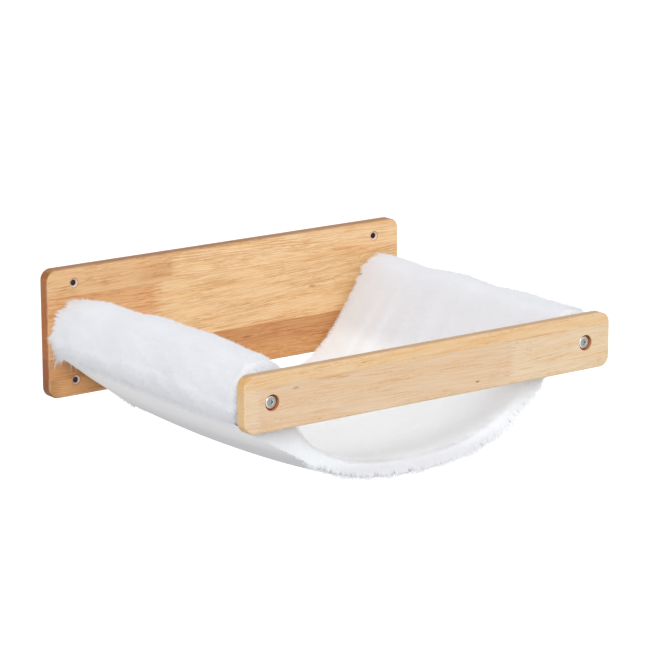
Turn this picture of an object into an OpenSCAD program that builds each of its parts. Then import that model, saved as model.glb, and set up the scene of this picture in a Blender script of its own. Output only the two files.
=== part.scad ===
// Wall-mounted cat hammock: two wooden boards, two rods between them and a plush sling.
// Millimetres. +Z is up, +X runs along the boards and +Y points into the wall.
// The origin is the centre of the back board's rear face, level with the rods' axes.

/* [Boards] */
// Length of both boards
board_w = 400; // [360:5:440]
// Thickness of both boards
board_t = 12; // [11:0.5:15]
// Height of the back board
back_h = 120; // [110:5:150]
// Height of the front board
front_h = 50; // [46:1:70]
// Radius of the boards' corners
corner_r = 10; // [6:1:14]
// Radius of the softened edges
edge_r = 1.5; // [0.5:0.25:2.5]

/* [Wall holes] */
// Distance of the wall holes from the back board's ends
hole_side = 29; // [22:1:36]
// Distance of the wall holes from the back board's top and bottom
hole_edge = 14.5; // [12:0.5:18]
// Diameter of the wall holes
hole_d = 5.5; // [4:0.5:6]
// Diameter of their countersinks at the surface
sink_d = 9.2; // [8:0.2:11]

/* [Rods] */
// Diameter of the rods
rod_d = 28; // [24:1:32]
// Length of the rods, which is the gap between the boards
rod_len = 300; // [260:5:340]
// Distance of the rods' axes from the boards' ends
rod_side = 28; // [24:1:40]
// Chamfer at the rods' ends
rod_chamfer = 1; // [0.5:0.25:2]

/* [Bolts and inserts] */
// Thread diameter of the bolts
bolt_d = 6; // [5:0.5:6.5]
// Length of the bolts under the head
bolt_len = 20; // [18:1:22]
// Diameter of the bolts' heads
head_d = 11.5; // [10:0.25:12]
// Height of the bolts' heads
head_h = 3.3; // [3:0.1:4]
// Bevel round the heads' rims
head_bevel = 0.8; // [0.4:0.1:1.2]
// Width across the flats of the hexagon socket
hex_flats = 4; // [3:0.5:5]
// Depth of the hexagon socket
hex_deep = 2.2; // [1.5:0.1:2.6]
// How far the heads' faces lie below the board
head_below = 1.6; // [0.5:0.1:2.5]
// Room round the heads in their counterbores
head_room = 1.25; // [0.5:0.25:1.5]
// Outer diameter of the threaded inserts
insert_d = 10; // [9.5:0.25:12]
// Length of the threaded inserts
insert_len = 15; // [12:1:18]
// Pitch of the inserts' outer thread
insert_pitch = 2.5; // [2:0.25:3]
// Radial room between a bolt and the board's hole
bolt_room = 0.25; // [0.1:0.05:0.4]
// Radial room between a bolt and its insert, and an insert and its rod
thread_room = 0.05; // [0.02:0.01:0.1]

/* [Cloth] */
// Thickness of the plush with its pile
plush_t = 13.5; // [10:0.5:15]
// Thickness of the lining
lining_t = 1.5; // [1:0.25:2]
// Gap between the cloth's edges and the boards
end_gap = 2.5; // [1.5:0.5:5]
// How far the pile rounds off at the cloth's edges
pile_round = 6; // [3:0.5:7]
// Room between the cloth and what it lies on
soft_gap = 0.3; // [0.2:0.05:0.5]
// Height of the folds and swells in the pile
fold_h = 1.3; // [0:0.1:2]
// Number of folds from the back to the front
fold_count = 3; // [2:1:4]

/* [Rod pockets] */
// Slack of the left pocket round its rod, at the back
slack_back = 0.5; // [0:0.5:6]
// Slack of the left pocket, midway
slack_mid = 4.5; // [1:0.5:10]
// Slack of the left pocket, at the front
slack_front = 5; // [1:0.5:10]
// Extra height of the left pocket's crown, at the back
crown_back = 2; // [0:0.5:6]
// Extra height of the left pocket's crown, midway
crown_mid = 5; // [0:0.5:8]
// Extra height of the left pocket's crown, at the front
crown_front = 0.5; // [0:0.5:6]
// How far the pockets' seams lie below the level of the rods' axes, as an angle
seam_angle = 40; // [30:1:50]

/* [Sling] */
// Depth of the pile's floor below the rods' axes, at the back
sag_back = 83; // [74:1:92]
// Depth of the pile's floor, midway
sag_mid = 89; // [80:1:100]
// Depth of the pile's floor, at the front
sag_front = 76.5; // [68:0.5:86]
// Offset of the sling's lowest line from the middle, towards the right
low_x = -8; // [-30:1:30]

/* [Hidden] */
$fn = 64;

// Rod axes, and the planes of the boards' faces along Y
rod_x = board_w / 2 - rod_side;
back_face = -board_t;
front_rear_face = back_face - rod_len;
front_face = front_rear_face - board_t;

// Counterbores, the bolts' reach into the rods and the bores that take the inserts
pocket_deep = head_h + head_below;
pocket_d = head_d + 2 * head_room;
bolt_reach = bolt_len - (board_t - pocket_deep);
tip_room = 2;
bore_deep = max(insert_len, bolt_reach) + tip_room;
bolt_chamfer = 0.8;
// Depth of the inserts' outer thread, and where its crest starts and ends in each turn
insert_thread = 0.8;
crest = [0.4, 0.6];
cut = 1; // cutters run this far past the faces they open

// Arcs of the plush round the rods: from the outer seam over the top to where the sling starts
arc_steps_left = 10;
arc_steps_right = 9;
left_seam = 180 + seam_angle;
left_end = 0;
right_start = 150;
right_seam = -seam_angle;
crown_at = 67;
arc_step = (right_start - right_seam) / arc_steps_right;
// Radius of the pile's tips where the plush lies on a rod, with room for the arc's chords
tight_r = (rod_d / 2 + soft_gap) / cos(arc_step / 2) + plush_t;

// Half the sling is one cubic curve: these shares of its height and width set its handles
wall_steps = 7;
left_wall_pull = 0.8;
right_wall_pull = 0.88;
left_floor_pull = 0.5;
right_floor_pull = 0.55;
// Steps of those curves at which the lining leaves the plush to pass under a rod
left_join = 3;
right_join = 1;
under_steps = 6;
// The lining passes under each rod in one cubic curve: these shares of its span set its
// handles, first at the seam and then where the lining joins the plush
left_under = [0.08, 0.16];
right_under = [0.38, 0.22];
// The lining starts beside the plush's cut end, this far inside the pile's tips
seam_in = 3;

// Rings of the cloth from the back edge to the front edge
ring_count = 11;
round_steps = 3;
cloth_back = back_face - end_gap;
cloth_front = front_rear_face + end_gap;
cloth_len = cloth_back - cloth_front;

// A value between the back, the middle and the front, as a smooth curve through all three
function along(t, back, mid, front) =
    back * (1 - t) * (1 - 2 * t) + mid * 4 * t * (1 - t) + front * t * (2 * t - 1);

// Unit vector at an angle, a quarter turn to the left, and a vector's direction
function dir(a) = [cos(a), sin(a)];
function turned(v) = [-v[1], v[0]];
function unit(v) = v / norm(v);

// A cubic curve through its first and last point, and its direction
function curve(p, s) = pow(1 - s, 3) * p[0] + 3 * s * pow(1 - s, 2) * p[1]
    + 3 * s * s * (1 - s) * p[2] + pow(s, 3) * p[3];
function heading(p, s) = unit(pow(1 - s, 2) * (p[1] - p[0]) + 2 * s * (1 - s) * (p[2] - p[1])
    + s * s * (p[3] - p[2]));

// Radius of the left pocket's pile at an angle, and its crown above the rod
function left_r(a, t) = tight_r + along(t, slack_back, slack_mid, slack_front)
    + along(t, crown_back, crown_mid, crown_front) * pow(max(0, cos(a - crown_at)), 2);
function left_point(a, t) = [-rod_x, 0] + left_r(a, t) * dir(a);
function right_point(a) = [rod_x, 0] + tight_r * dir(a);

// Corners of the two curves that make the sling's floor, each from its pocket to the lowest line
function low_point(t) = [low_x, -along(t, sag_back, sag_mid, sag_front)];
function sling_curve(top, way, pull, floor_pull, t) =
    let (low = low_point(t), rise = top[1] - low[1], run = top[0] - low[0])
    [top, top + pull * rise * way, low + [floor_pull * run, 0], low];
function left_curve(t) =
    sling_curve(left_point(left_end, t), -turned(dir(left_end)), left_wall_pull,
        left_floor_pull, t);
function right_curve(t) =
    sling_curve(right_point(right_start), turned(dir(right_start)), right_wall_pull,
        right_floor_pull, t);

// Swells and hollows of the pile: [step along the section, place as a share of the depth,
// half width in steps, half length as a share of the depth, height in fold heights]
pocket_swells = [[6, 0.16, 2.6, 0.13, 1.1], [6.3, 0.36, 2.2, 0.12, -0.9],
    [6, 0.6, 2.4, 0.14, 0.8], [3.2, 0.3, 1.8, 0.2, -0.7], [3.4, 0.66, 2, 0.18, 0.5],
    [9, 0.45, 2, 0.18, -0.9]];
floor_swells = [[13, 0.25, 2.2, 0.16, 1], [13.5, 0.7, 2.2, 0.16, -0.9], [17, 0.5, 2.5, 0.2, -1.1],
    [20.5, 0.3, 2.2, 0.16, -0.9], [20.5, 0.72, 2.2, 0.16, 0.9]];
right_swells = [[26.6, 0.2, 2, 0.14, -0.9], [26.8, 0.5, 2, 0.16, 0.9], [26.6, 0.8, 2, 0.14, -0.9],
    [30, 0.35, 2, 0.2, 0.7]];
function bell(x) = pow(max(0, 1 - x * x), 2);
function swell(step, t) =
    let (heights = [for (w = concat(pocket_swells, floor_swells, right_swells))
        w[4] * bell((step - w[0]) / w[2]) * bell((t - w[1]) / w[3])])
    heights * [for (h = heights) 1];

// Folds run from rod to rod and fade out on the floor, under the swells
function fold(share, step, t) =
    fold_h * (share * sin(360 * fold_count * t) * sin(180 * t) + swell(step, t));

// Pile side of the plush at one ring, from seam to seam: [point, outward direction, fold share]
function plush_line(t) = concat(
    [for (k = [0 : arc_steps_left])
        let (a = left_seam + (left_end - left_seam) * k / arc_steps_left)
        [left_point(a, t), dir(a), sin(180 * k / arc_steps_left)]],
    [for (k = [1 : wall_steps])
        let (s = k / wall_steps, p = left_curve(t))
        [curve(p, s), turned(heading(p, s)), sin(180 * s) * (1 - s)]],
    [for (k = [wall_steps - 1 : -1 : 1])
        let (s = k / wall_steps, p = right_curve(t))
        [curve(p, s), -turned(heading(p, s)), sin(180 * s) * (1 - s)]],
    [for (k = [0 : arc_steps_right])
        let (a = right_start - arc_step * k)
        [right_point(a), dir(a), sin(180 * k / arc_steps_right)]]);

// Upper side of the lining at one ring: [point, outward direction]
function under_plush(q) = [q[0] - (plush_t + soft_gap) * q[1], q[1]];
function lining_line(t) =
    let (
        line = plush_line(t),
        first = arc_steps_left + left_join,
        last = arc_steps_left + 2 * wall_steps - right_join,
        // a step of soft_gap along the arc keeps the lining's end off the plush's cut end
        left_a = left_seam + soft_gap / tight_r * 180 / PI,
        right_a = right_seam - soft_gap / tight_r * 180 / PI,
        left_at = [-rod_x, 0] + (left_r(left_seam, t) - seam_in) * dir(left_a),
        right_at = [rod_x, 0] + (tight_r - seam_in) * dir(right_a),
        from = under_plush(line[first]),
        to = under_plush(line[last]),
        left_span = norm(from[0] - left_at),
        right_span = norm(right_at - to[0]),
        left = [left_at, left_at + left_span * left_under[0] * turned(dir(left_a)),
            from[0] + left_span * left_under[1] * turned(from[1]), from[0]],
        right = [to[0], to[0] - right_span * right_under[1] * turned(to[1]),
            right_at - right_span * right_under[0] * turned(dir(right_a)), right_at])
    concat(
        [for (k = [0 : under_steps - 1])
            let (s = k / under_steps) [curve(left, s), turned(heading(left, s))]],
        [for (k = [first : last]) under_plush(line[k])],
        [for (k = [1 : under_steps])
            let (s = k / under_steps) [curve(right, s), turned(heading(right, s))]]);

// Ring places from the back edge: [distance, how far the pile's tips draw in]
rings = let (body = cloth_len - 2 * pile_round) concat(
    [for (k = [0 : round_steps]) let (a = 90 * k / round_steps)
        [pile_round * (1 - cos(a)), pile_round * (1 - sin(a))]],
    [for (k = [1 : ring_count - 1]) [pile_round + body * k / ring_count, 0]],
    [for (k = [round_steps : -1 : 0]) let (a = 90 * k / round_steps)
        [cloth_len - pile_round * (1 - cos(a)), pile_round * (1 - sin(a))]]);
// The lining stops this many rings short of the plush's edges
lining_in = 2;

// One closed loop round a cloth's cross-section, pile side first and underside back
function plush_loop(ring) =
    let (t = ring[0] / cloth_len, y = cloth_back - ring[0], line = plush_line(t),
        n = len(line) - 1,
        over = [for (k = [0 : n]) let (q = line[k])
            q[0] + (fold(q[2], k, t) - ring[1]) * q[1]],
        under = [for (q = line) q[0] - plush_t * q[1]])
    [for (k = [0 : 2 * n + 1])
        let (p = k <= n ? over[k] : under[2 * n + 1 - k]) [p[0], y, p[1]]];
function lining_loop(ring) =
    let (t = ring[0] / cloth_len, y = cloth_back - ring[0], line = lining_line(t),
        n = len(line) - 1)
    [for (k = [0 : 2 * n + 1])
        let (q = line[k <= n ? k : 2 * n + 1 - k],
            p = k <= n ? q[0] : q[0] - lining_t * q[1]) [p[0], y, p[1]]];

// A closed skin over loops of equal length; the end faces join the two sides of a ribbon
module ribbon(loops) {
    n = len(loops[0]);
    m = len(loops);
    half = n / 2;
    sides = [for (j = [0 : m - 2], i = [0 : n - 1])
        let (a = j * n + i, b = j * n + (i + 1) % n)
        each [[a, b, b + n], [a, b + n, a + n]]];
    back_end = [for (i = [0 : half - 2]) each [[i, n - 1 - i, i + 1],
        [i + 1, n - 1 - i, n - 2 - i]]];
    front_end = [for (f = back_end) [for (k = [2 : -1 : 0]) f[k] + (m - 1) * n]];
    polyhedron([for (l = loops) each l], concat(sides, back_end, front_end), convexity = 8);
}

// A board's blank, its corners rounded and its edges softened in two steps
module blank(w, h) {
    hull()
        for (x = [-1, 1], z = [-1, 1], k = [0 : 2])
            translate([x * (w / 2 - corner_r), z * (h / 2 - corner_r),
                edge_r * (1 - sin(45 * k))])
                cylinder(r = corner_r - edge_r * (1 - cos(45 * k)),
                    h = board_t - 2 * edge_r * (1 - sin(45 * k)), $fn = 32);
}

// The hole for a bolt, its head's counterbore opening at z = 0 and the shank running up
module bolt_hole() {
    translate([0, 0, -cut])
        cylinder(d = pocket_d, h = pocket_deep + cut);
    cylinder(d = bolt_d + 2 * bolt_room, h = board_t + cut);
}

// The board against the wall, drilled for its screws and the rear bolts
module back_board() {
    color("#D9AE7A") rotate([90, 0, 0]) difference() {
        blank(board_w, back_h);
        for (x = [-rod_x, rod_x])
            translate([x, 0, 0])
                bolt_hole();
        for (x = [-1, 1], z = [-1, 1])
            translate([x * (board_w / 2 - hole_side), z * (back_h / 2 - hole_edge), 0])
                wall_hole();
    }
}

// A wall hole with its countersink on the side that faces the room
module wall_hole() {
    sink_deep = (sink_d - hole_d) / 2;
    translate([0, 0, -cut])
        cylinder(d = hole_d, h = board_t + 2 * cut);
    translate([0, 0, board_t - sink_deep])
        cylinder(d1 = hole_d, d2 = sink_d + 2 * cut, h = sink_deep + cut);
}

// The lower board at the free side
module front_board() {
    color("#E6C79B") translate([0, front_face, 0]) rotate([-90, 0, 0]) difference() {
        blank(board_w, front_h);
        for (x = [-rod_x, rod_x])
            translate([x, 0, 0])
                bolt_hole();
    }
}

// A rod between the boards, bored at both ends for the inserts
module rod(x) {
    color("#DDBB8C") translate([x, back_face, 0]) rotate([90, 0, 0]) difference() {
        rotate_extrude()
            polygon([[0, 0], [rod_d / 2 - rod_chamfer, 0], [rod_d / 2, rod_chamfer],
                [rod_d / 2, rod_len - rod_chamfer], [rod_d / 2 - rod_chamfer, rod_len],
                [0, rod_len]]);
        translate([0, 0, -cut])
            cylinder(d = insert_d + 2 * thread_room, h = bore_deep + cut);
        translate([0, 0, rod_len - bore_deep])
            cylinder(d = insert_d + 2 * thread_room, h = bore_deep + cut);
    }
}

// A threaded insert, its mouth at z = 0, with a coarse thread outside drawn as rings
module insert() {
    turns = floor(insert_len / insert_pitch);
    core = insert_d / 2 - insert_thread;
    color("#B9B4A2") rotate_extrude()
        polygon(concat(
            [[bolt_d / 2 + thread_room, 0]],
            [for (k = [0 : turns - 1]) each [
                [core, k * insert_pitch],
                [insert_d / 2, (k + crest[0]) * insert_pitch],
                [insert_d / 2, (k + crest[1]) * insert_pitch]]],
            [[core, turns * insert_pitch], [core, insert_len],
                [bolt_d / 2 + thread_room, insert_len]]));
}

// A socket-head bolt, its head's seat at z = 0 and its shank running up
module bolt() {
    color("#C3C5C7") difference() {
        rotate_extrude()
            polygon([[0, -head_h], [head_d / 2 - head_bevel, -head_h],
                [head_d / 2, head_bevel - head_h], [head_d / 2, 0], [bolt_d / 2, 0],
                [bolt_d / 2, bolt_len - bolt_chamfer], [bolt_d / 2 - bolt_chamfer, bolt_len],
                [0, bolt_len]]);
        translate([0, 0, -head_h - cut])
            cylinder(d = hex_flats / cos(30), h = hex_deep + cut, $fn = 6);
    }
}

// Puts a piece that runs up along Z into the back end or the front end of a rod's line
module from_back(x, y) {
    translate([x, y, 0]) rotate([90, 0, 0])
        children();
}
module from_front(x, y) {
    translate([x, y, 0]) rotate([-90, 0, 0])
        children();
}

// The long-pile cloth from one outer seam over both rods to the other, pile included
module plush_panel() {
    color("#EFEFF2")
        ribbon([for (r = rings) plush_loop(r)]);
}

// The smooth cloth under it, from seam to seam below the rods
module lining_panel() {
    color("#C6C6C9")
        ribbon([for (k = [lining_in : len(rings) - 1 - lining_in]) lining_loop(rings[k])]);
}

back_board();
front_board();
rod(-rod_x);  // left_rod
rod(rod_x);  // right_rod
from_back(-rod_x, back_face) insert();  // left_rear_insert
from_front(-rod_x, front_rear_face) insert();  // left_front_insert
from_back(rod_x, back_face) insert();  // right_rear_insert
from_front(rod_x, front_rear_face) insert();  // right_front_insert
from_back(-rod_x, -pocket_deep) bolt();  // left_rear_bolt
from_front(-rod_x, front_face + pocket_deep) bolt();  // left_front_bolt
from_back(rod_x, -pocket_deep) bolt();  // right_rear_bolt
from_front(rod_x, front_face + pocket_deep) bolt();  // right_front_bolt
plush_panel();
lining_panel();
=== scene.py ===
"""Dresses the CAD frame of a wall-mounted hammock with its finished surfaces.

Two jointed boards, two rods, bolts and inserts, and a plush sling with a knitted lining.
Everything is in the frame of the CAD model: X runs along the boards, Y into the wall, Z up.
"""

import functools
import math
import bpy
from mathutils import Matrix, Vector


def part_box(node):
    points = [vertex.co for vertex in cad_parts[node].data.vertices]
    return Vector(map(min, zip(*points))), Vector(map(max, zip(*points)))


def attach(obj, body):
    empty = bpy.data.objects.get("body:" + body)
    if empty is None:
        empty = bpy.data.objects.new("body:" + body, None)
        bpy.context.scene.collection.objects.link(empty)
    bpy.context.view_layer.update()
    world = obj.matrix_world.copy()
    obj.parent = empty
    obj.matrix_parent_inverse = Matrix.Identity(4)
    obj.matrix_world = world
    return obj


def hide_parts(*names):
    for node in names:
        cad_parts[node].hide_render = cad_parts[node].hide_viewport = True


bl_info = {
    "name": "Wall Hammock",
    "version": (1, 0, 0),
    "blender": (4, 5, 0),
    "location": "3D View > Sidebar > Hammock",
    "description": "Builds the boards, bolts, plush sling and lining of a wall-mounted hammock",
    "category": "Object",
}

import bmesh
import bpy
import numpy as np
from bpy.props import (
    FloatProperty,
    FloatVectorProperty,
    IntProperty,
    PointerProperty,
)
from mathutils import Matrix, Vector
from mathutils.geometry import tessellate_polygon

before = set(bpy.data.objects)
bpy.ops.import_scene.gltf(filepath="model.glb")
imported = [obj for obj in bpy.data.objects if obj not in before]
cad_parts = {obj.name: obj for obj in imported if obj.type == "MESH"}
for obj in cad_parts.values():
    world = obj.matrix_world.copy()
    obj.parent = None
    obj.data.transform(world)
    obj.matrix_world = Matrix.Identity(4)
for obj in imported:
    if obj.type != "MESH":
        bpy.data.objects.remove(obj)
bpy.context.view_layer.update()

MM = 0.001

# Places that the frame gives, in metres
BACK_BOX, FRONT_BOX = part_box("back_board"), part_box("front_board")
ROD_LOW, ROD_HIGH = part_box("right_rod")
RODS = ("left_rod", "right_rod")
CORNERS = ("left_rear", "left_front", "right_rear", "right_front")

# Cloth section of the CAD model, in millimetres and degrees
ROD_X = (ROD_LOW.x + ROD_HIGH.x) / 2 / MM
ROD_R = (ROD_HIGH.z - ROD_LOW.z) / 2 / MM
END_GAP = 2.5
CLOTH_BACK = BACK_BOX[0].y / MM - END_GAP
CLOTH_FRONT = FRONT_BOX[1].y / MM + END_GAP
CLOTH_LEN = CLOTH_BACK - CLOTH_FRONT
PLUSH_T = 13.5
LINING_T = 1.5
SOFT_GAP = 0.3
FOLD_H = 1.3
FOLD_COUNT = 3
SLACK = (0.5, 4.5, 5.0)
CROWN = (2.0, 5.0, 0.5)
CROWN_AT = 67.0
SAG = (83.0, 89.0, 76.5)
LOW_X = -8.0
LEFT_SEAM, LEFT_END = 220.0, 0.0
RIGHT_START, RIGHT_SEAM = 150.0, -40.0
ARC_STEP = (RIGHT_START - RIGHT_SEAM) / 9
TIGHT_R = (ROD_R + SOFT_GAP) / math.cos(math.radians(ARC_STEP / 2)) + PLUSH_T
WALL_PULL = (0.8, 0.88)
FLOOR_PULL = (0.5, 0.55)
ARC_STEPS = (10, 9)
WALL_STEPS, LEFT_JOIN, RIGHT_JOIN = 7, 3, 1
LEFT_UNDER, RIGHT_UNDER = (0.08, 0.16), (0.38, 0.22)
SEAM_IN, LINING_IN = 3.0, 3.0
# Steps of a fine section along each arc and each wall and under each pocket, and those at which
# the lining joins the plush
SECTION_STEPS, UNDER_STEPS = 60, 40
LEFT_AT = SECTION_STEPS + round(SECTION_STEPS * LEFT_JOIN / WALL_STEPS)
RIGHT_AT = 3 * SECTION_STEPS - round(SECTION_STEPS * RIGHT_JOIN / WALL_STEPS)
# Swells and hollows of the pile: step along the section, place as a share of the depth, half
# width in steps, half length as a share of the depth, height in fold heights
SWELLS = (
    (6, 0.16, 2.6, 0.13, 1.1),
    (6.3, 0.36, 2.2, 0.12, -0.9),
    (6, 0.6, 2.4, 0.14, 0.8),
    (3.2, 0.3, 1.8, 0.2, -0.7),
    (3.4, 0.66, 2, 0.18, 0.5),
    (9, 0.45, 2, 0.18, -0.9),
    (13, 0.25, 2.2, 0.16, 1),
    (13.5, 0.7, 2.2, 0.16, -0.9),
    (17, 0.5, 2.5, 0.2, -1.1),
    (20.5, 0.3, 2.2, 0.16, -0.9),
    (20.5, 0.72, 2.2, 0.16, 0.9),
    (26.6, 0.2, 2, 0.14, -0.9),
    (26.8, 0.5, 2, 0.16, 0.9),
    (26.6, 0.8, 2, 0.14, -0.9),
    (30, 0.35, 2, 0.2, 0.7),
)


def shade(red, green, blue):
    """Scene colour of an 8-bit screen colour."""
    return tuple(
        c / 255 / 12.92 if c / 255 <= 0.04045 else ((c / 255 + 0.055) / 1.055) ** 2.4
        for c in (red, green, blue)
    )


def colour_property(name, description, colour):
    """A colour that a user can change."""
    return FloatVectorProperty(
        name=name,
        description=description,
        default=colour,
        subtype="COLOR",
        size=3,
        min=0.0,
        max=1.0,
    )


def length_property(name, description, millimetres):
    """A length that a user can change, given here in millimetres."""
    return FloatProperty(
        name=name,
        description=description,
        default=millimetres * MM,
        min=0.0,
        precision=4,
        subtype="DISTANCE",
        unit="LENGTH",
    )


def share_property(name, description, default):
    """A share from 0 to 1 that a user can change."""
    return FloatProperty(
        name=name, description=description, default=default, min=0.0, max=1.0, subtype="FACTOR"
    )


def level_property(name, description, default):
    """The strength of a light that a user can change."""
    return FloatProperty(name=name, description=description, default=default, min=0.0)


def angle_property(name, description, degrees):
    """An angle that a user can change, given here in degrees."""
    return FloatProperty(
        name=name,
        description=description,
        default=math.radians(degrees),
        subtype="ANGLE",
        unit="ROTATION",
    )


# Settings


class HammockStageSettings(bpy.types.PropertyGroup):
    """Floor, light and camera."""

    floor_drop: length_property("Floor Drop", "How far the floor lies below the rods", 1000)
    floor_colour: colour_property("Floor", "Colour of the floor", (0.72, 0.72, 0.72))
    sky_level: level_property("Sky Level", "Strength of the even light", 0.8)
    key_level: level_property("Key Level", "Strength of the soft key light", 0.75)
    fill_level: level_property("Fill Level", "Strength of the low front light", 0.42)
    key_height: angle_property("Key Height", "Height of the key light above the horizon", 52)
    key_turn: angle_property("Key Turn", "Turn of the key light towards the left end", 30)
    key_spread: angle_property("Key Spread", "Angle that the key light fills", 28)
    lens: FloatProperty(
        name="Lens", description="Focal length", default=171.49, subtype="DISTANCE_CAMERA"
    )


class HammockBoardSettings(bpy.types.PropertyGroup):
    """Jointed boards and rods."""

    corner_radius: length_property("Corner Radius", "Radius of the boards' corners", 10)
    edge_rounding: length_property("Edge Rounding", "Rounding along the boards' edges", 1.5)
    hole_lip: length_property("Hole Lip", "Small bevel round each hole", 0.3)
    hole_inset: length_property("Hole Inset", "Wall holes from the ends", 29)
    hole_edge: length_property("Hole Edge", "Wall holes from the long edges", 14.5)
    hole_width: length_property("Hole Width", "Width of the wall holes", 5.5)
    sink_width: length_property("Sink Width", "Width of their countersinks", 9.2)
    pocket_width: length_property("Pocket Width", "Width of the bolts' counterbores", 14)
    pocket_depth: length_property("Pocket Depth", "Depth of the bolts' counterbores", 4.9)
    bolt_hole: length_property("Bolt Hole", "Width of the bolts' holes", 6.5)
    streaks: share_property("Streaks", "Strength of the grain's streaks", 0.5)
    # The paler edges stand for wear, and partly for a painted highlight
    wear_and_highlight: share_property("Wear", "How much the edges have lightened", 0.55)
    back_edge: colour_property("Back Edges", "Worn edges of the back board", shade(236, 205, 165))
    front_edge: colour_property(
        "Front Edges", "Worn edges of the front board", shade(238, 210, 170)
    )
    rod_colour: colour_property("Rods", "Colour of the rods", shade(222, 190, 148))


class HammockBoltSettings(bpy.types.PropertyGroup):
    """Bolts and inserts."""

    head_height: length_property("Head Height", "Height of the bolt heads", 3.3)
    hex_width: length_property("Hex Width", "Width of the hex sockets across flats", 4)
    hex_depth: length_property("Hex Depth", "Depth of the hex sockets", 2.2)
    thread_pitch: length_property("Thread Pitch", "Pitch of the bolts' thread", 1)
    steel: colour_property("Steel", "Colour of the bolts", (0.34, 0.355, 0.33))
    zinc: colour_property("Zinc", "Colour of the inserts", (0.62, 0.60, 0.52))


class HammockPlushSettings(bpy.types.PropertyGroup):
    """Plush sheet and its pile."""

    colour: colour_property("Plush", "Colour of the plush", shade(232, 233, 238))
    pile_height: length_property("Pile Height", "Height of the pile over its dense part", 2.4)
    strand_length: length_property("Strand Length", "Length of a strand of pile", 6)
    strand_width: length_property("Strand Width", "Width of a strand near its middle", 0.34)
    clump_size: length_property("Clump Size", "Distance between clumps of pile", 3.2)
    gather: share_property("Gather", "How far the tips of a clump draw together", 0.2)
    strands: IntProperty(
        name="Strands", description="Strands in each clump", default=13, min=1, max=60
    )
    lean: angle_property("Lean", "How far the pile leans from upright", 66)
    wrinkle_limit: length_property("Wrinkle Limit", "Most that a wrinkle may rise", 1.2)
    seed: IntProperty(name="Seed", description="Start of the pile's random draws", default=7)


class HammockLiningSettings(bpy.types.PropertyGroup):
    """Knitted lining and its stitches."""

    colour: colour_property("Lining", "Colour of the lining", (0.89, 0.89, 0.907))
    stitch_length: length_property("Stitch Length", "Length of a stitch", 3)
    stitch_gap: length_property("Stitch Gap", "Gap between stitches", 1.2)
    thread_width: length_property("Thread Width", "Width of the thread", 0.6)
    thread_colour: colour_property("Thread", "Colour of the thread", (0.86, 0.86, 0.87))


# Meshes


def finished_mesh(name, points, faces, loose_corners=False):
    """Object whose mesh has these points, in millimetres, and these faces."""
    mesh = bpy.data.meshes.new(name)
    if loose_corners:
        mesh.from_pydata([tuple(p) for p in points], [], faces)
    else:
        faces = np.asarray(faces, np.int32)
        mesh.vertices.add(len(points))
        mesh.loops.add(faces.size)
        mesh.loops.foreach_set("vertex_index", faces.ravel())
        mesh.polygons.add(len(faces))
        mesh.polygons.foreach_set(
            "loop_start", np.arange(len(faces), dtype=np.int32) * faces.shape[1]
        )
    co = np.asarray(points, np.float32) * MM
    mesh.vertices.foreach_set("co", co.ravel())
    mesh.update(calc_edges=True)
    mesh.validate()
    mesh.polygons.foreach_set("use_smooth", [True] * len(mesh.polygons))
    piece = bpy.data.objects.new(name, mesh)
    bpy.context.scene.collection.objects.link(piece)
    return piece


def turn_faces_out(piece):
    """Turns every face of a closed mesh outwards."""
    bm = bmesh.new()
    bm.from_mesh(piece.data)
    bmesh.ops.recalc_face_normals(bm, faces=bm.faces)
    bm.to_mesh(piece.data)
    bm.free()


def crisp(piece, degrees):
    """Smooth shading that keeps flat faces flat and edges over this angle sharp."""
    piece.data.set_sharp_from_angle(angle=math.radians(degrees))
    modifier = piece.modifiers.new("Flat Faces", "WEIGHTED_NORMAL")
    modifier.keep_sharp = True


def dress(piece, material, slot, *nodes):
    """Gives a piece its material and body, and hides the CAD nodes it stands for. Its slot is not
    used.
    """
    piece.data.materials.clear()
    piece.data.materials.append(material)
    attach(piece, "root")
    if nodes:
        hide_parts(*nodes)


def dress_node(name, material):
    """Gives the material slots of a CAD node this material."""
    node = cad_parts[name]
    for place in node.material_slots:
        place.link = "OBJECT"
        place.material = material


def bridge(rings, width, closed=True):
    """Quads between rings of points that follow each other in one array."""
    steps = np.arange(width if closed else width - 1)
    row = np.stack([steps, (steps + 1) % width], 1)
    rows = []
    for k in range(rings - 1):
        a, b = row + k * width, row[:, ::-1] + (k + 1) * width
        rows.append(np.concatenate([a, b], 1))
    return np.concatenate(rows)


# Node helpers


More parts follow.
